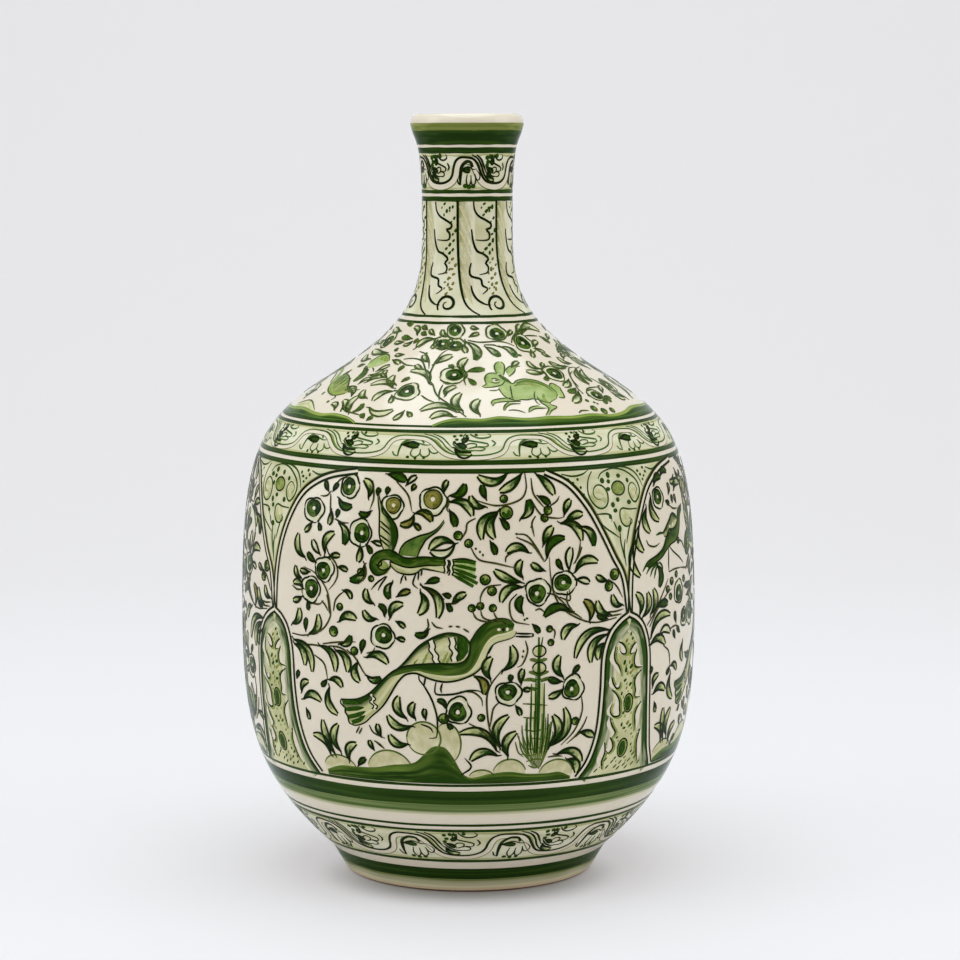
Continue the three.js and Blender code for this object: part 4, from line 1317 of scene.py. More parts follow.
# %% Flowers, stems and berries of a panel
PANEL_FLOWERS = [
    (-41.5, 191.5, 6.3), (-27.1, 182.5, 6.3), (-18.8, 195.4, 5.6, "olive"), (-8.7, 198.4, 6.6, "olive"),
    (-30.9, 203.8, 5.5), (-37.2, 164, 5.9), (-41.7, 153.6, 6.3), (-20.8, 134.2, 6.0), (-2.3, 99.8, 6.3),
    (16.6, 155.6, 6.2), (23.7, 159, 6.0), (9.6, 107.8, 6.0), (25.7, 108.8, 6.0)]
PANEL_STEMS = [
    [(-36.7, 199.5), (-36.2, 191.5), (-36, 188.5)], [(-24.8, 207), (-24, 199.5), (-24.8, 193.5)],
    [(-48, 131), (-43.5, 131), (-38, 134.5), (-35.4, 140.5), (-35.2, 145.5), (-36.4, 154.5), (-40, 161.5),
     (-44, 164)],
    [(-34.2, 144.5), (-33.7, 149.5), (-32.4, 152.5), (-30.9, 154.5)],
    [(-37.5, 128.2), (-33, 129.7), (-27.9, 130.7)], [(-25, 125.7), (-23.3, 126.7), (-22.8, 128.7)],
    [(-30.4, 126.7), (-27.9, 122.7), (-25.9, 116.7), (-24.3, 113.7)],
    [(-40.2, 122.2), (-37.2, 118.7), (-36.2, 111.7)], [(-44, 126.5), (-40, 127), (-36, 126.5)],
    [(-34.7, 188.2), (-32.4, 186.7), (-30.4, 186.7)], [(-23.3, 82.9), (-21.3, 79.9)],
    [(-24.8, 91), (-23.8, 87.5), (-20.8, 85)], [(-9.7, 143.5), (-9.5, 139.5), (-10.7, 137.2)],
    [(-8.7, 142), (-7.7, 139.7), (-6, 139)], [(-4.7, 139.9), (-3.7, 140.1)], [(-3, 140.1), (-1.9, 139.7)],
    [(-1.2, 139), (0.2, 137.2)], [(14.6, 211), (14.6, 203.5), (12.6, 198.5), (7, 196.3), (1, 199.5)],
    [(16.1, 208.5), (16.4, 201.5), (18.2, 196.5), (19.5, 194)],
    [(15.6, 199), (18.1, 191.5), (22.2, 189.5), (24.2, 190)], [(16.6, 191), (15.6, 187.5), (16.1, 181.5)],
    [(11.8, 183), (14.6, 181.5), (18.4, 170.5)], [(11.6, 181.5), (15.6, 177.5), (18.4, 169.5)],
    [(0.5, 177.5), (2.5, 171.5), (6.6, 169.5), (11.6, 167)],
    [(38.3, 140.2), (32.2, 139), (27.7, 141.2), (23.2, 146.6), (20.7, 154.6), (19.9, 164.5), (19.8, 171.5)],
    [(7.8, 159.5), (4.5, 158.5), (3, 154.6), (2.8, 150)],
    [(11.6, 155), (9.8, 150.6), (10.6, 142.6), (14.6, 140.2)], [(5, 141.8), (2, 143.6), (0.8, 148)],
    [(7, 141.8), (3.6, 144), (2.8, 148.5)], [(9, 141), (6.8, 143.6), (5.8, 147.5)],
    [(35.8, 159), (38.3, 155.5), (40.3, 149.5)], [(26.5, 168), (27.7, 173.5), (28.2, 178.5)],
    [(22.2, 152.5), (24.9, 150.6), (24.7, 156)],
    [(8.1, 119.5), (5.1, 111.5), (4.3, 102.9), (5.6, 87), (9.6, 77)],
    [(-2, 109), (1, 108.8), (3, 105.5), (3.3, 102)],
    [(13.6, 132.7), (14.1, 127.7), (12.9, 121.7), (11.6, 120.2)],
    [(28.2, 104), (28.5, 97), (26.7, 88), (23.2, 81)], [(27, 84.5), (28.7, 87)],
    [(19.2, 138.5), (20.9, 136.7), (20.7, 132.7)], [(20.4, 195.2), (22.4, 197.5), (23.2, 199.8)],
    [(22.8, 187.3), (25.5, 187.3), (28.8, 185), (31.5, 182.7), (32.7, 179)],
    [(28.5, 175.4), (27.6, 171.5), (26, 167.5)], [(19, 154.8), (21.1, 153.5), (22.5, 151), (24.1, 148.2)],
    [(24.3, 155), (24.1, 150.2), (25.5, 145.6), (26.8, 143)],
    [(22.4, 146.2), (25.5, 144.8), (28.2, 141.6)], [(34.9, 143.4), (38, 143.2), (40.6, 143.9)],
    [(35.2, 141.2), (40, 141.6)], [(16, 146.8), (17.2, 147.5), (18.4, 145.6)],
    [(-36.6, 201), (-37.9, 198.6), (-40, 198.3)], [(-35.9, 203.7), (-33.9, 207), (-31.2, 208)],
    [(-36.9, 175.5), (-35.9, 171.5), (-33.6, 166.9), (-33.1, 162.2), (-33.9, 158.2), (-35.7, 154.3)],
    [(-35.7, 127.5), (-32.2, 127.2), (-29.2, 124.2)],
    [(-26, 169.4), (-25.2, 165.5), (-25.5, 161.5), (-27.2, 158.3)],
    [(-48, 154.2), (-46, 152.6), (-43.6, 153.5)],
    [(-43.3, 149), (-41.3, 147.2), (-38.6, 147), (-37.3, 148.9)],
    [(-37.9, 148.8), (-36.6, 146.6), (-35.9, 144.2)],
    [(-18.3, 207), (-15.6, 202.4), (-14.6, 199.2), (-13.8, 193.3)],
    [(-5.9, 201.4), (-4.7, 198.6), (-5.2, 194.6), (-4.4, 193.3)],
    [(1.8, 190.6), (-0.2, 188.3), (-0.5, 184.8), (-1.9, 180)], [(-4.9, 151), (-3.2, 150.8), (-1.2, 153.6)],
    [(-11.6, 159.5), (-8.9, 156.2), (-5.6, 152.8)], [(8.9, 170), (9.2, 172.8), (11.9, 175.5)],
    [(-36.3, 152), (-35.7, 148), (-35.5, 143)], [(7.4, 104), (5.9, 100.7), (5.4, 95.3), (5, 90.7)],
    [(0, 93.7), (2.7, 90.7), (4.7, 86.7), (6, 82)], [(30, 94), (28.9, 89.4), (26.9, 84.8), (24.8, 81.5)],
    [(20, 75.6), (22.2, 75.9), (24, 75.4)], [(-28.6, 86.5), (-27.5, 90)], [(-27.8, 86.2), (-26.8, 89.4)],
    [(-23.8, 83.5), (-22.4, 82), (-21.1, 79.8)]]
PANEL_BERRIES = [
    (-26.6, 164, 1.8), (-23.8, 161.3, 1.4), (-32.4, 146.8, 1.7), (-34.2, 134.7, 2.4), (-28.3, 126.3, 1.9),
    (-2.4, 182.6, 2.0), (0.1, 179, 1.9), (-6, 96, 2.4), (8.8, 199.4, 1.8), (9.3, 193, 3.0),
    (19.9, 193.4, 2.0), (18.9, 190, 1.8), (4, 162, 2.4), (5.6, 156.6, 2.1), (0.8, 148.6, 1.7),
    (2.8, 149.6, 1.7), (5.8, 148.6, 1.7), (36, 155.6, 2.3), (37.8, 161, 2.6), (19.6, 137.7, 1.5),
    (19.9, 131.2, 1.5), (3, 96.4, 1.7), (26.7, 92.4, 1.8), (1.8, 176.5, 0.6), (2.8, 175, 0.6),
    (3.5, 173.5, 0.6), (13.1, 127.7, 0.6), (12.9, 125.2, 0.6), (13.4, 142.6, 0.6), (14, 143.2, 0.6),
    (11.7, 183, 0.6), (15.5, 186, 0.6)]

# %% [markdown]
# #### Birds
# A bird is built from feathered patches. Most are dark along their first line and pale along their
# second, as a side-loaded brush leaves them. White bars cross the patches and dark lines part the feathers.

# %% Paint the flying bird
def feathered(brush, leading, trailing, pigment="plume"):
    """A patch of plumage with outlines along both its lines."""
    brush.fill(leading, trailing, pigment)
    brush.lines([leading, trailing], 0.9)


def barred(brush, points, reach=0.7):
    """A white bar across the feathers, between two dark lines."""
    brush.line(points, 2.0, "reserve", (1, 1))
    for side in (-reach, reach):
        brush.line([(degrees + side, height) for degrees, height in points], 0.8, "outline", (1, 1))


FLYING_LEFT_WING = (
    [(-18.2, 175), (-17.5, 178.5), (-17.2, 182), (-17.6, 186), (-18.8, 189.5), (-20.2, 192.5),
     (-21.3, 195), (-22.2, 198), (-23, 203)],
    [(-20.6, 175), (-21.3, 178), (-21.9, 182), (-22, 186), (-22.1, 190), (-22.2, 193), (-22.5, 195.6),
     (-22.8, 198.6), (-23.2, 203)])
FLYING_RIGHT_WING = (
    [(-16.8, 173), (-16.4, 176), (-15.3, 178.8), (-13.5, 180.8), (-11.5, 182.4), (-9.5, 183.5), (-8, 185),
     (-6.8, 187.2), (-5.9, 189.8)],
    [(-12.2, 172.4), (-11.9, 174), (-11.6, 175.6), (-11, 177.8), (-10.2, 180.4), (-9, 182.3),
     (-7.6, 184.3), (-6.4, 186.8), (-5.7, 188.8)])
FLYING_HEAD = (
    [(-19.2, 166.5), (-20.2, 164.3), (-21.8, 163), (-23, 163.5), (-23.9, 165.5), (-24.2, 168),
     (-23.8, 171), (-22.8, 173.3), (-21.2, 174.8), (-19.5, 175.3), (-18, 174.8), (-16.8, 173.4)],
    [(-19.4, 167), (-20, 166), (-20.8, 165.6), (-21.6, 166), (-22, 167), (-22, 168), (-21.6, 169.4),
     (-21, 170.4), (-20, 170.8), (-19.2, 170.6), (-18.6, 170), (-18, 169.4)])
FLYING_BACK = (
    [(-18.6, 174.6), (-17, 173.2), (-15.2, 171.8), (-13, 171.8), (-11.3, 172.4), (-9, 172.3), (-7, 172),
     (-5.2, 171.6)],
    [(-18.8, 169.6), (-17, 168.4), (-15.4, 167.6), (-13.6, 167.4), (-11.5, 168.1), (-9.5, 168.6),
     (-7.5, 168.5), (-5.4, 168.8)])
FLYING_BELLY = [
    (-18.9, 168), (-17.3, 165.3), (-15.5, 164.2), (-13.7, 164.1), (-12.2, 165), (-11, 166.8), (-9, 166.4),
    (-7, 165.7), (-5.4, 165)]
FLYING_TAIL = ([(-3.8, 171.4), (-1, 171.8), (1.9, 170.6)], [(-3.8, 164.4), (-1.2, 161.6), (1.2, 158.8)])
FLYING_FEATHERS = [
    [(-3.6, 170.4), (-1, 170.7), (1.7, 169.6)], [(-3.6, 168.9), (-1, 168), (1.8, 166.6)],
    [(-3.6, 167.2), (-0.7, 165.2), (1.9, 163)], [(-3.6, 165.8), (-0.4, 162.9), (2.2, 160.2)],
    FLYING_TAIL[1]]
FLYING_LINES = [
    [(-21.8, 188.5), (-20.5, 186.5), (-19.2, 184.6)], [(-21.7, 186), (-20.3, 184), (-19, 182)],
    [(-21.8, 182), (-20.5, 180.5), (-19, 178.6)], [(-21.6, 180), (-20.4, 178.3), (-19.2, 176.6)],
    [(-20, 162.8), (-22.3, 159.4), (-23.8, 156)], [(-19.7, 162.8), (-21.2, 158.8), (-22, 155.8)],
    [(-15.5, 164), (-16, 162), (-16.3, 159.5)], [(-15.2, 163.4), (-14.9, 161)],
    [(-12.4, 165), (-13, 162), (-13.2, 159.5), (-12, 157.5)], [(-11.8, 165.6), (-12, 161.5)],
    [(-11, 166.4), (-11.3, 163.5)], [(-19, 170), (-18.9, 167.4), (-19.6, 165.4)], FLYING_TAIL[0]]


def flying_bird(brush):
    """A bird in flight: raised wings, a round head, a long body and a fan of tail feathers."""
    brush.fill(*FLYING_TAIL, "fur")
    for feather in FLYING_FEATHERS:
        brush.line(feather, 1.7, "deep", (0.3, 0.9))
    brush.fill(FLYING_BACK[1], FLYING_BELLY, "pool")
    oval(brush, -21.4, 166.6, 4.6, 3.6, "leaf")
    feathered(brush, *FLYING_LEFT_WING)
    feathered(brush, *FLYING_RIGHT_WING, "sage")
    feathered(brush, *FLYING_HEAD, "coat")
    feathered(brush, *FLYING_BACK, "coat")
    brush.line(FLYING_BELLY, 0.9)
    brush.lines(FLYING_LINES, 0.9)
    spiral(brush, -21.7, 169, 1.9, 200, 0.9, 0.9)
    barred(brush, [(-5.3, 171.4), (-5, 169.6), (-5.4, 168), (-5.1, 166.4), (-5.5, 165)], 0.4)
    barred(brush, [(-4.1, 171.2), (-3.8, 169.4), (-4.2, 167.6), (-3.9, 165.8), (-4.3, 164)], 0.4)


# %% Paint the standing bird
STANDING_BACK = [
    (-32.3, 102.5), (-30, 102.7), (-27.5, 103.5), (-25, 105.8), (-23, 109), (-20.5, 114), (-18, 118),
    (-15.5, 120.2), (-13, 121.3), (-8, 122.2), (-2.5, 122.4), (-0.5, 124.5), (0.3, 128), (0.4, 132),
    (1, 134.5), (2.2, 138.3), (4, 141.5), (6, 143.2), (8, 143.7), (9.8, 142.8), (10.9, 140.5)]
STANDING_FLANK = [
    (-31.2, 96), (-28, 96.6), (-25.4, 97.6), (-23.2, 101), (-21.6, 105), (-19.6, 110.4), (-17.3, 115),
    (-15.5, 117.2), (-13, 118.4), (-10, 117.6), (-7, 116.8), (-4, 116.6), (-1, 117.4), (0.6, 119.5),
    (1.9, 123), (2.8, 127), (3.8, 131), (5, 134.2), (6.6, 136), (8.6, 136.6), (10.6, 138)]
STANDING_BELLY = [
    (-30.3, 91), (-28.6, 90.2), (-26, 92), (-24, 95.5), (-22, 98.8), (-20.5, 102), (-19, 106.5),
    (-17.8, 110.5), (-16.5, 114), (-15, 116.6), (-12.6, 117.4), (-10, 115.5), (-8, 114.3), (-5.5, 113.6),
    (-3, 114.2), (-0.5, 115.8), (1.5, 117.8), (3, 120.5), (4, 124), (4.7, 128), (5.6, 130.8), (6.8, 132.3),
    (8.5, 133.2), (10, 134), (11, 135.2), (11.4, 137.2)]
STANDING_CREST = [
    (-18, 118), (-17, 119.3), (-15.5, 122), (-13.7, 126), (-12, 129.7), (-10.5, 132), (-8.5, 134.3),
    (-6.5, 136), (-4.5, 136.8), (-2.5, 136.4), (-0.8, 135), (0.3, 132.6)]
STANDING_HEM = [
    (-16.4, 119), (-15, 120.4), (-13.2, 122.6), (-11.6, 125), (-10, 127.4), (-8.6, 129.4), (-7, 131),
    (-5.6, 132), (-4, 132.2), (-2.6, 131), (-1.6, 129.4), (-0.4, 128)]
STANDING_WING_ROOT = [(-15.4, 119.8), (-12, 121.4), (-8, 122.2), (-4, 122.4), (-2, 122.8), (-0.6, 125)]
STANDING_TAIL = [
    [(-26.4, 101.4), (-29, 101.4), (-32, 101)], [(-26, 99.4), (-28.6, 98.4), (-31.4, 97.6)],
    [(-25.6, 97.6), (-28, 95.4), (-30.6, 94)], [(-25.8, 95.6), (-27.6, 93), (-29.6, 91.6)]]
STANDING_LOBES = [
    (-32.3, 102.5), (-32.6, 100.6), (-31.7, 99), (-31.2, 98), (-31.4, 96.4), (-30.7, 94.6), (-30.5, 92.6),
    (-30.3, 91), (-28.6, 90.2)]
STANDING_LEGS = [
    [(-11.8, 117), (-11.8, 114.5), (-10.8, 112), (-9.8, 108.8), (-8.8, 105), (-8.1, 101), (-7.6, 97),
     (-7.5, 93), (-7.6, 89), (-8, 86.5), (-9.6, 86.2)],
    [(-10.2, 116), (-10.5, 113), (-10.6, 111.5)],
    [(-7.7, 113.5), (-8, 110.5), (-7.9, 108), (-6.8, 107.4), (-4, 107.7), (-2, 108.5), (0.2, 109.6),
     (2.5, 109.3), (3.6, 107.5)],
    [(-6.2, 113), (-6.6, 110.3), (-6.4, 108.3)], [(11.2, 136.4), (13.4, 136), (15.4, 135.9)],
    [(11.2, 134.9), (13.4, 134.6), (15.4, 134.5)], [(15.4, 136), (15.5, 134.4)],
    [(4.7, 127), (5.3, 129.6), (6, 131.6)]]


def standing_bird(brush):
    """A long-necked bird on one leg, with a raised wing and a barred tail."""
    brush.fill(STANDING_FLANK, STANDING_BELLY, "pool")
    brush.fill(STANDING_HEM, STANDING_WING_ROOT, "pool")
    for root in (-13, -11, -6.4, -5.4):
        brush.line([(root, 121.6), (root + 0.6, 124), (root + 1.6, 128)], 1.3, "leaf")
    brush.fill([(-2.6, 135.6), (-1.2, 134.6), (0, 132)], [(-3, 124), (-1.6, 124), (0, 128)], "deep")
    brush.fill(STANDING_CREST, STANDING_HEM, "plume")
    brush.line(STANDING_CREST, 1.2)
    brush.fill(STANDING_BACK, STANDING_FLANK, "plume")
    brush.fill(STANDING_BACK[5:], STANDING_BACK[5:6] + STANDING_FLANK[8:], "coat")
    brush.lines([STANDING_BACK, STANDING_BELLY, STANDING_LOBES], 1.0)
    for feather in STANDING_TAIL:
        brush.line(feather, 2.2, "deep", (0.2, 0.9))
    brush.lines(STANDING_LEGS, 1.0)
    barred(brush, [(-9, 133.2), (-8.5, 130.6), (-8.7, 128.6), (-7.7, 126), (-7.9, 124.4), (-7.3, 122.6)])
    barred(brush, [(-4, 134.8), (-3.6, 132), (-3.9, 130), (-3, 127.5), (-3.5, 125.4), (-3.2, 123.4)])
    barred(brush, [(-24.2, 105.6), (-23.2, 104), (-24, 102.4), (-22.8, 100.6), (-23.4, 99)], 0.5)
    for place in (7.2, 9.2):
        brush.dot(place, 138.4, 0.8, "reserve")
    brush.dot(8.3, 138.2, 0.8, "outline")


# %% [markdown]
# #### Ground
# Stones and a low hill close each panel at its foot, and a tall palm-like plant stands on the right.
# The hill is a broad stroke that darkens towards the border.

# %% Paint the ground
PANEL_FLOOR = 63.4
FRONT_STONE = (-11, 86, 8.2, 8.2)
BACK_STONE = (-5.4, 83.6, 6.8, 10.2)
DOMES = [
    (-34.8, 67.5, 9.5, 7), (-20.2, 68.5, 11.5, 11), (3.2, 66.5, 6, 4.2), (10.2, 68, 8, 7.8),
    (22.6, 66, 9, 8.4)]
HILL = [
    (-39.3, 66), (-34.6, 69), (-29.2, 69.4), (-24.5, 70), (-19.4, 72), (-14.1, 73.4), (-11.6, 77),
    (-9.6, 81), (-8, 82.4), (-5.6, 81.4), (-3.6, 76), (-1.6, 69), (0.6, 66.6), (5, 68.4), (10, 69.3),
    (15, 67.8), (20, 67.4), (23.5, 67.6), (26.9, 64.9)]


def dome(brush, degrees, height, half_width, rise):
    """A low boulder that lies half behind the hill: pale wash under an outline."""
    top = ellipse(np.linspace(math.radians(15), math.radians(165), 16), half_width, rise)
    bottom = np.column_stack([top[:, 0], np.full(len(top), -0.4 * rise)])
    back = brush.near(degrees, height, top)
    brush.painting.stroke(back, brush.near(degrees, height, bottom), "stone", 5)
    brush.draw(back, 0.9, "stem")


def ground(brush):
    """Two stones, low boulders, and the hill with streaks along it."""
    oval(brush, *BACK_STONE, "stone")
    oval(brush, *FRONT_STONE, "stone", 0.9, "stem")
    rim = ellipse(np.radians(np.linspace(118, -70, 20)), *BACK_STONE[2:])
    brush.draw(brush.near(*BACK_STONE[:2], rim), 0.9, "stem")
    for boulder in DOMES:
        dome(brush, *boulder)
    brush.fill(HILL, [(degrees, PANEL_FLOOR) for degrees, _ in HILL], "hill")
    for share in (0.25, 0.5, 0.75):
        streak = [(degrees, PANEL_FLOOR + share * (height - PANEL_FLOOR)) for degrees, height in HILL[1:-1]]
        brush.line(streak, 1.6, "band" if share < 0.6 else "leaf", (0.3, 0.2))
    brush.line([(-11.6, 93), (-9.4, 91.4), (-8.6, 89)], 0.9)
    brush.line([(-2, 68), (0.6, 72), (-1, 76.6)], 1.0)


# %% Paint the tall plant
PLANT_MIDDLE = 16.9
PLANT_TRUNK = [
    (15.1, 112, 0.9), (16.2, 116, 1.0), (16.9, 134, 1.7), (18.3, 112, 0.9), (14.2, 96, 1.0),
    (19.4, 97, 1.0), (20.2, 93, 0.9)]
PLANT_GRASS = [
    [(12.2, 87), (13, 80), (15, 75), (18, 70)], [(12.9, 92), (13.6, 82), (15.6, 75.6), (17.8, 70)],
    [(20.6, 94), (19.8, 84), (18.8, 76), (17.9, 70.4)], [(11.4, 84), (12.2, 79), (13.6, 76.4)],
    [(13, 78), (15.4, 77), (18.6, 78.4)], [(13.4, 81), (16, 80), (19.4, 81.6)],
    [(14.4, 74), (16.4, 75), (19, 74.6)], [(15, 72), (16.6, 70.6), (18.4, 71.4)],
    [(13, 102.6), (16, 102), (19.2, 101.2)], [(13.6, 90), (16, 89), (19.4, 90)],
    [(13.2, 96), (15.4, 95.4), (17.4, 96)], [(15.4, 85.6), (17.6, 85), (20, 86)]]
PLANT_SPRIGS = [
    (16.4, 113.3, 13.1, 113.8), (17.4, 113.3, 22.2, 111.8), (16.6, 122.6, 14.6, 123.6),
    (17.2, 122.4, 19, 123.4), (16.4, 109, 13.4, 108.6), (16.6, 116.4, 14.4, 117.8),
    (17.2, 116.2, 19.4, 117.4)]


def tall_plant(brush):
    """A palm: a bundle of upright lines that spreads into a basket of crossing blades at its foot."""
    brush.fill([(14.6, 76), (14.9, 96), (15.4, 112)], [(19.4, 76), (18.8, 96), (18, 112)], "pool")
    for place, top, width in PLANT_TRUNK:
        root = PLANT_MIDDLE + (place - PLANT_MIDDLE) * 0.8
        brush.line([(root, 78), (place, 88), (place, top)], width, "deep", (0.6, 0.5))
    for share in np.linspace(-1, 1, 10):
        top = 86 + 13 * math.cos(1.4 * share)
        brush.line([(16.4 + 4.4 * share, top), (16.5 + 4.2 * share, 0.4 * top + 50), (17.2 + share, 71)],
                   0.75, "stem")
    brush.lines(PLANT_GRASS, 0.8, "stem")
    for sprig in PLANT_SPRIGS:
        bend = ((sprig[0] + sprig[2]) / 2, sprig[1] + 0.8)
        brush.line([sprig[:2], bend, sprig[2:]], 1.8, "stem", (1, 0.4))
    for height in (119.4, 127.4):
        oval(brush, 17, height, 3.3, 2.7, "pool", 0.8)
    brush.line([(16.9, 114), (17, 124), (17.9, 134)], 1.3, "stem")


# %% [markdown]
# #### Side panels
# The panels beside and behind the front one are the same design, except that a long-tailed bird sits
# in the upper left of each. That bird and the plants round it are written for the right panel.

# %% Plants and bird of a side panel
SIDE_LEAVES = [
    (45.2, 176, 46.8, 156.5, "dr"), (47.2, 183, 48.4, 168.6, "dr"), (50.7, 190.5, 51.4, 177.3, "dr"),
    (53.2, 195.5, 56, 182.2, "dr"), (46.2, 139.8, 44.8, 151.5, "dr"), (47.3, 138.5, 49.4, 151, "dr"),
    (50.4, 139, 51.8, 152.2, "dr"), (53.6, 162, 54.3, 150.5, "fl"), (50.5, 127.2, 60.4, 137.5, "dl"),
    (50.4, 124, 57.5, 122.6, "dl"), (54.2, 127.6, 60, 127.8, "ol"), (53.3, 142, 58.8, 142.5, "fs"),
    (55.6, 200.3, 60.2, 203.5, "fl"), (60, 204, 64.4, 205.4, "fl"), (62.4, 195, 62.8, 200.5, "dr"),
    (64.2, 190.5, 64.3, 194.4, "fs"), (60.2, 191.6, 62.2, 189.6, "fs"), (66.6, 190, 66, 194.4),
    (66.4, 196, 71.4, 198.6, "dl"), (63, 132, 62.3, 138, "fs"), (62.4, 124.4, 61.4, 129, "fs"),
    (65.4, 126.6, 63.4, 130, "fs"), (68, 203, 64.4, 200.4, "dl"), (70.4, 205.4, 74, 200, "dr"),
    (69, 148, 73, 147, "fs"), (71, 143, 76, 139, "dl")]
SIDE_FLOWERS = [(56.6, 194, 5.2), (64.8, 146.6, 5.8), (68.6, 133, 4.6)]
SIDE_STEMS = [
    [(49, 134), (51.8, 139), (55.6, 147.3), (58.7, 154.3)],
    [(50, 133), (53, 140), (57.9, 147), (60.5, 149)], [(59.4, 157.5), (62, 158.2), (66.5, 158)],
    [(49.6, 175), (50.5, 172.4), (53, 171.3), (55.2, 172.5)], [(62, 189.5), (64, 187.5), (67, 187)],
    [(59.4, 129.6), (62.5, 130.4), (65, 129)], [(66.5, 158), (71, 157), (76, 158.6)],
    [(65.6, 171.8), (68, 170.4), (70, 166.6)]]
SIDE_BERRIES = [
    (60.6, 152.8, 1.8), (58.4, 149.3, 1.7), (59.8, 145.4, 1.5), (63.4, 155.5, 1.5), (65.6, 171.6, 1.5),
    (68.6, 152, 1.6)]
PERCHED_BACK = [
    (48.5, 162.6), (50, 165), (54, 167.2), (56.8, 170), (58.7, 174.8), (60.4, 178), (62.4, 177.8),
    (64.4, 178), (65.4, 180), (66.2, 183), (67.4, 186.6), (70.5, 188.4)]
PERCHED_BREAST = [
    (49.8, 161.8), (53, 163.6), (56, 165.6), (58.5, 168.6), (60.4, 170.4), (61.5, 171), (63, 171.4),
    (64.4, 172.2), (66, 174.4), (67.2, 178.5), (68.2, 183), (70, 185.8)]
PERCHED_WING = (
    [(57, 176.9), (59.4, 180.4), (61, 182.8), (62.7, 185.3), (64.4, 184.8), (66, 182.8)],
    [(57.6, 175.4), (59, 175), (60.6, 176.4), (62, 177.6), (64, 178.6), (65.6, 181)])
PERCHED_TAIL = [
    [(53.8, 163.6), (50.5, 161.6), (49, 158.8)], [(54, 163.4), (51.6, 160.6), (50.6, 157.3)],
    [(54.3, 163.2), (53, 160.2), (52.2, 156)], [(54.5, 163.5), (55.8, 161.5), (56.1, 158)],
    [(51, 165), (49, 163), (47.6, 160.3)], [(57.2, 177), (55.6, 177.2), (53.8, 176.6)]]
PERCHED_LEGS = [
    [(60.3, 169.6), (62, 167), (66, 163), (68.4, 160)], [(59.6, 169), (59.2, 162), (59.3, 157.5)]]


def perched_bird(brush):
    """A bird on a twig: streaming tail, a raised wing and its head turned away."""
    feathered(brush, *PERCHED_WING)
    brush.fill(PERCHED_BACK, PERCHED_BREAST, "coat")
    brush.lines([PERCHED_BACK, PERCHED_BREAST], 0.9)
    brush.lines(PERCHED_TAIL, 1.3, "deep")
    brush.lines(PERCHED_LEGS, 0.9)
    for degrees, height in ((61, 179.4), (62.6, 180)):
        brush.dot(degrees, height, 0.8, "reserve")


# %% Paint the panels
PANEL_MIDDLE = -6.5
PANEL_WIDTH = 98
PANEL_NAMES = ["right_panel_painting", "back_panel_painting", "left_panel_painting", "front_panel_painting"]


def beside_bird(degrees, height):
    """Whether a place of the front design lies where a side panel has its own bird."""
    return degrees < -22 and height > 123


def panel(name, left_niche, right_niche, seed):
    """One arch's plants and birds, squeezed to the distance between its niches."""
    painting = Painting(name, seed)
    middle = (left_niche + right_niche) / 2
    squeeze = (right_niche - left_niche) / PANEL_WIDTH
    brush = Brush(painting, middle, squeeze, PANEL_MIDDLE)
    ground(brush)
    if name == "front_panel_painting":
        plants(brush, PANEL_STEMS, PANEL_LEAVES, PANEL_FLOWERS, PANEL_BERRIES)
    else:
        shared = [
            [item for item in items if not beside_bird(*item[:2])]
            for items in (PANEL_LEAVES, PANEL_FLOWERS, PANEL_BERRIES)]
        plants(brush, [stem for stem in PANEL_STEMS if not beside_bird(*stem[0])], *shared)
        side_brush = Brush(painting, left_niche, 1, NICHES[1])
        plants(side_brush, SIDE_STEMS, SIDE_LEAVES, SIDE_FLOWERS, SIDE_BERRIES)
        perched_bird(side_brush)
    tall_plant(brush)
    flying_bird(brush)
    standing_bird(brush)
    painting.finish()


for number, name in enumerate(PANEL_NAMES):
    left_niche = NICHES[(number + 1) % 4]
    right_niche = NICHES[(number + 2) % 4]
    if right_niche < left_niche:
        right_niche += 360
    panel(name, left_niche, right_niche, 41 + number)

# %% [markdown]
# ## Floor, backdrop and light
# The vase stands on pale seamless paper that sweeps up behind it. A plane is the start: its far edge
# is extruded upwards and the fold is bevelled to a wide curve. The paper is part of the studio, not of
# the vase. It glows a little for the camera alone, so that it looks white with no more light on the
# vase. The glow fades out close under the front of the foot, which paints the shadow there darker than the
# light makes it.

# %% Sweep the paper
SWEEP_WIDTH = 5.0
SWEEP_NEAR = -2.5
SWEEP_FAR = 1.9
SWEEP_RISE = 2.6
SWEEP_FOLD = 0.9

bpy.ops.object.select_all(action="DESELECT")
bpy.ops.mesh.primitive_plane_add(size=1)
paper = bpy.context.object
paper.name = "seamless_paper"
for vertex in paper.data.vertices:
    vertex.co.x *= SWEEP_WIDTH
    vertex.co.y = SWEEP_FAR if vertex.co.y > 0 else SWEEP_NEAR
bpy.ops.object.mode_set(mode="EDIT")
bpy.ops.mesh.select_mode(type="EDGE")
bpy.ops.mesh.select_all(action="DESELECT")
bpy.ops.object.mode_set(mode="OBJECT")
for edge in paper.data.edges:
    edge.select = all(paper.data.vertices[v].co.y > 0 for v in edge.vertices)
bpy.ops.object.mode_set(mode="EDIT")
bpy.ops.mesh.extrude_region_move(TRANSFORM_OT_translate={"value": (0, 0, SWEEP_RISE)})
bpy.ops.mesh.select_all(action="DESELECT")
bpy.ops.object.mode_set(mode="OBJECT")
for edge in paper.data.edges:
    ends = [paper.data.vertices[v].co for v in edge.vertices]
    edge.select = all(end.y > 0 and end.z < 0.01 for end in ends)
bpy.ops.object.mode_set(mode="EDIT")
bpy.ops.mesh.bevel(offset=SWEEP_FOLD, segments=16, affect="EDGES")
bpy.ops.object.mode_set(mode="OBJECT")
bpy.ops.object.shade_smooth_by_angle(angle=math.radians(30))

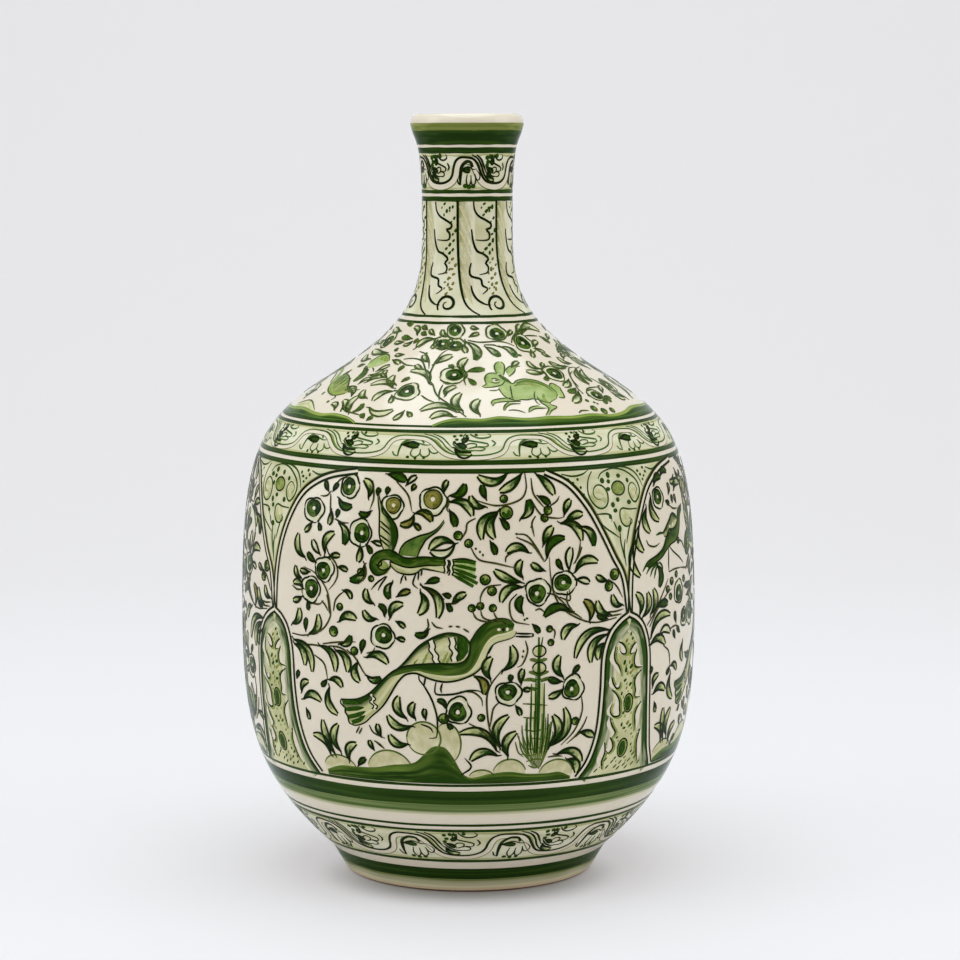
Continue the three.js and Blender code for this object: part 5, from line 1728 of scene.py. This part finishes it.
PAPER_FIBRE_SIZE = 0.004
PAPER_GLOW = 0.378
# Painted shadow: near this point, just in front of the foot, the paper's glow fades to nothing, so the
# floor there is painted darker
PAINTED_SHADOW_PLACE = (0, -0.02, 0)
PAINTED_SHADOW_NEAR = 0.040
PAINTED_SHADOW_FAR = 0.080
material, tree, shader = new_material("matt_white_paper")
place = add_node(tree, "ShaderNodeTexCoord").outputs["Object"]
tone = add_mix(tree, add_noise(tree, place, PAPER_FIBRE_SIZE, 2), "#e9e9ed", "#ebebef")
seen = add_node(tree, "ShaderNodeLightPath").outputs["Is Camera Ray"]
shown = add_mix(tree, seen, tone, "#b5b3b5")
# Painted shadow: the glow grows from nothing near the front of the foot to full further out
from_painted_shadow = add_node(tree, "ShaderNodeVectorMath", {0: place, 1: PAINTED_SHADOW_PLACE}, operation="DISTANCE")
glow_outside_painted_shadow = add_node(tree, "ShaderNodeMapRange", {
    "Value": from_painted_shadow.outputs["Value"], "From Min": PAINTED_SHADOW_NEAR, "From Max": PAINTED_SHADOW_FAR,
    "To Max": PAPER_GLOW}, interpolation_type="SMOOTHSTEP")
glow = add_node(tree, "ShaderNodeMath", {0: seen, 1: glow_outside_painted_shadow.outputs["Result"]}, operation="MULTIPLY")
tree.links.new(shown, shader.inputs["Base Color"])
tree.links.new(glow.outputs[0], shader.inputs["Emission Strength"])
shader.inputs["Emission Color"].default_value = linear("#fefaff")
shader.inputs["Roughness"].default_value = 0.9
paper.data.materials.append(material)
print("paper sweep has", len(paper.data.polygons), "faces")

# %% [markdown]
# The light is a soft tent: an even world, a large lamp overhead and two more at the sides. Even light
# shows the painting as it is, and the overhead lamp puts the gloss on the shoulder.

# %% Light the tent
LAMP_AIM = Vector((0, 0, 0.2))
TENT_STRENGTH = 0.57


def softbox(name, place, size, power, colour):
    """An area lamp at a place, turned towards the vase."""
    bpy.ops.object.light_add(type="AREA", location=place)
    lamp = bpy.context.object
    lamp.name = name
    lamp.data.shape = "RECTANGLE"
    lamp.data.size, lamp.data.size_y = size
    lamp.data.energy = power
    lamp.data.color = linear(colour)[:3]
    lamp.rotation_euler = (LAMP_AIM - lamp.location).to_track_quat("-Z", "Y").to_euler()


softbox("top_softbox", (0.0, -0.1, 1.75), (1.4, 1.8), 20, "#e6f7ff")
softbox("left_softbox", (-1.7, -0.45, 0.9), (1.0, 1.4), 9, "#e4f6ff")
softbox("right_softbox", (1.7, -0.35, 0.9), (1.0, 1.4), 7, "#e4f6ff")

world = bpy.data.worlds.new("white_tent")
world.use_nodes = True
bpy.context.scene.world = world
sky = world.node_tree.nodes["Background"]
sky.inputs["Color"].default_value = linear("#fffbef")
sky.inputs["Strength"].default_value = TENT_STRENGTH
print("three softboxes and a white tent")
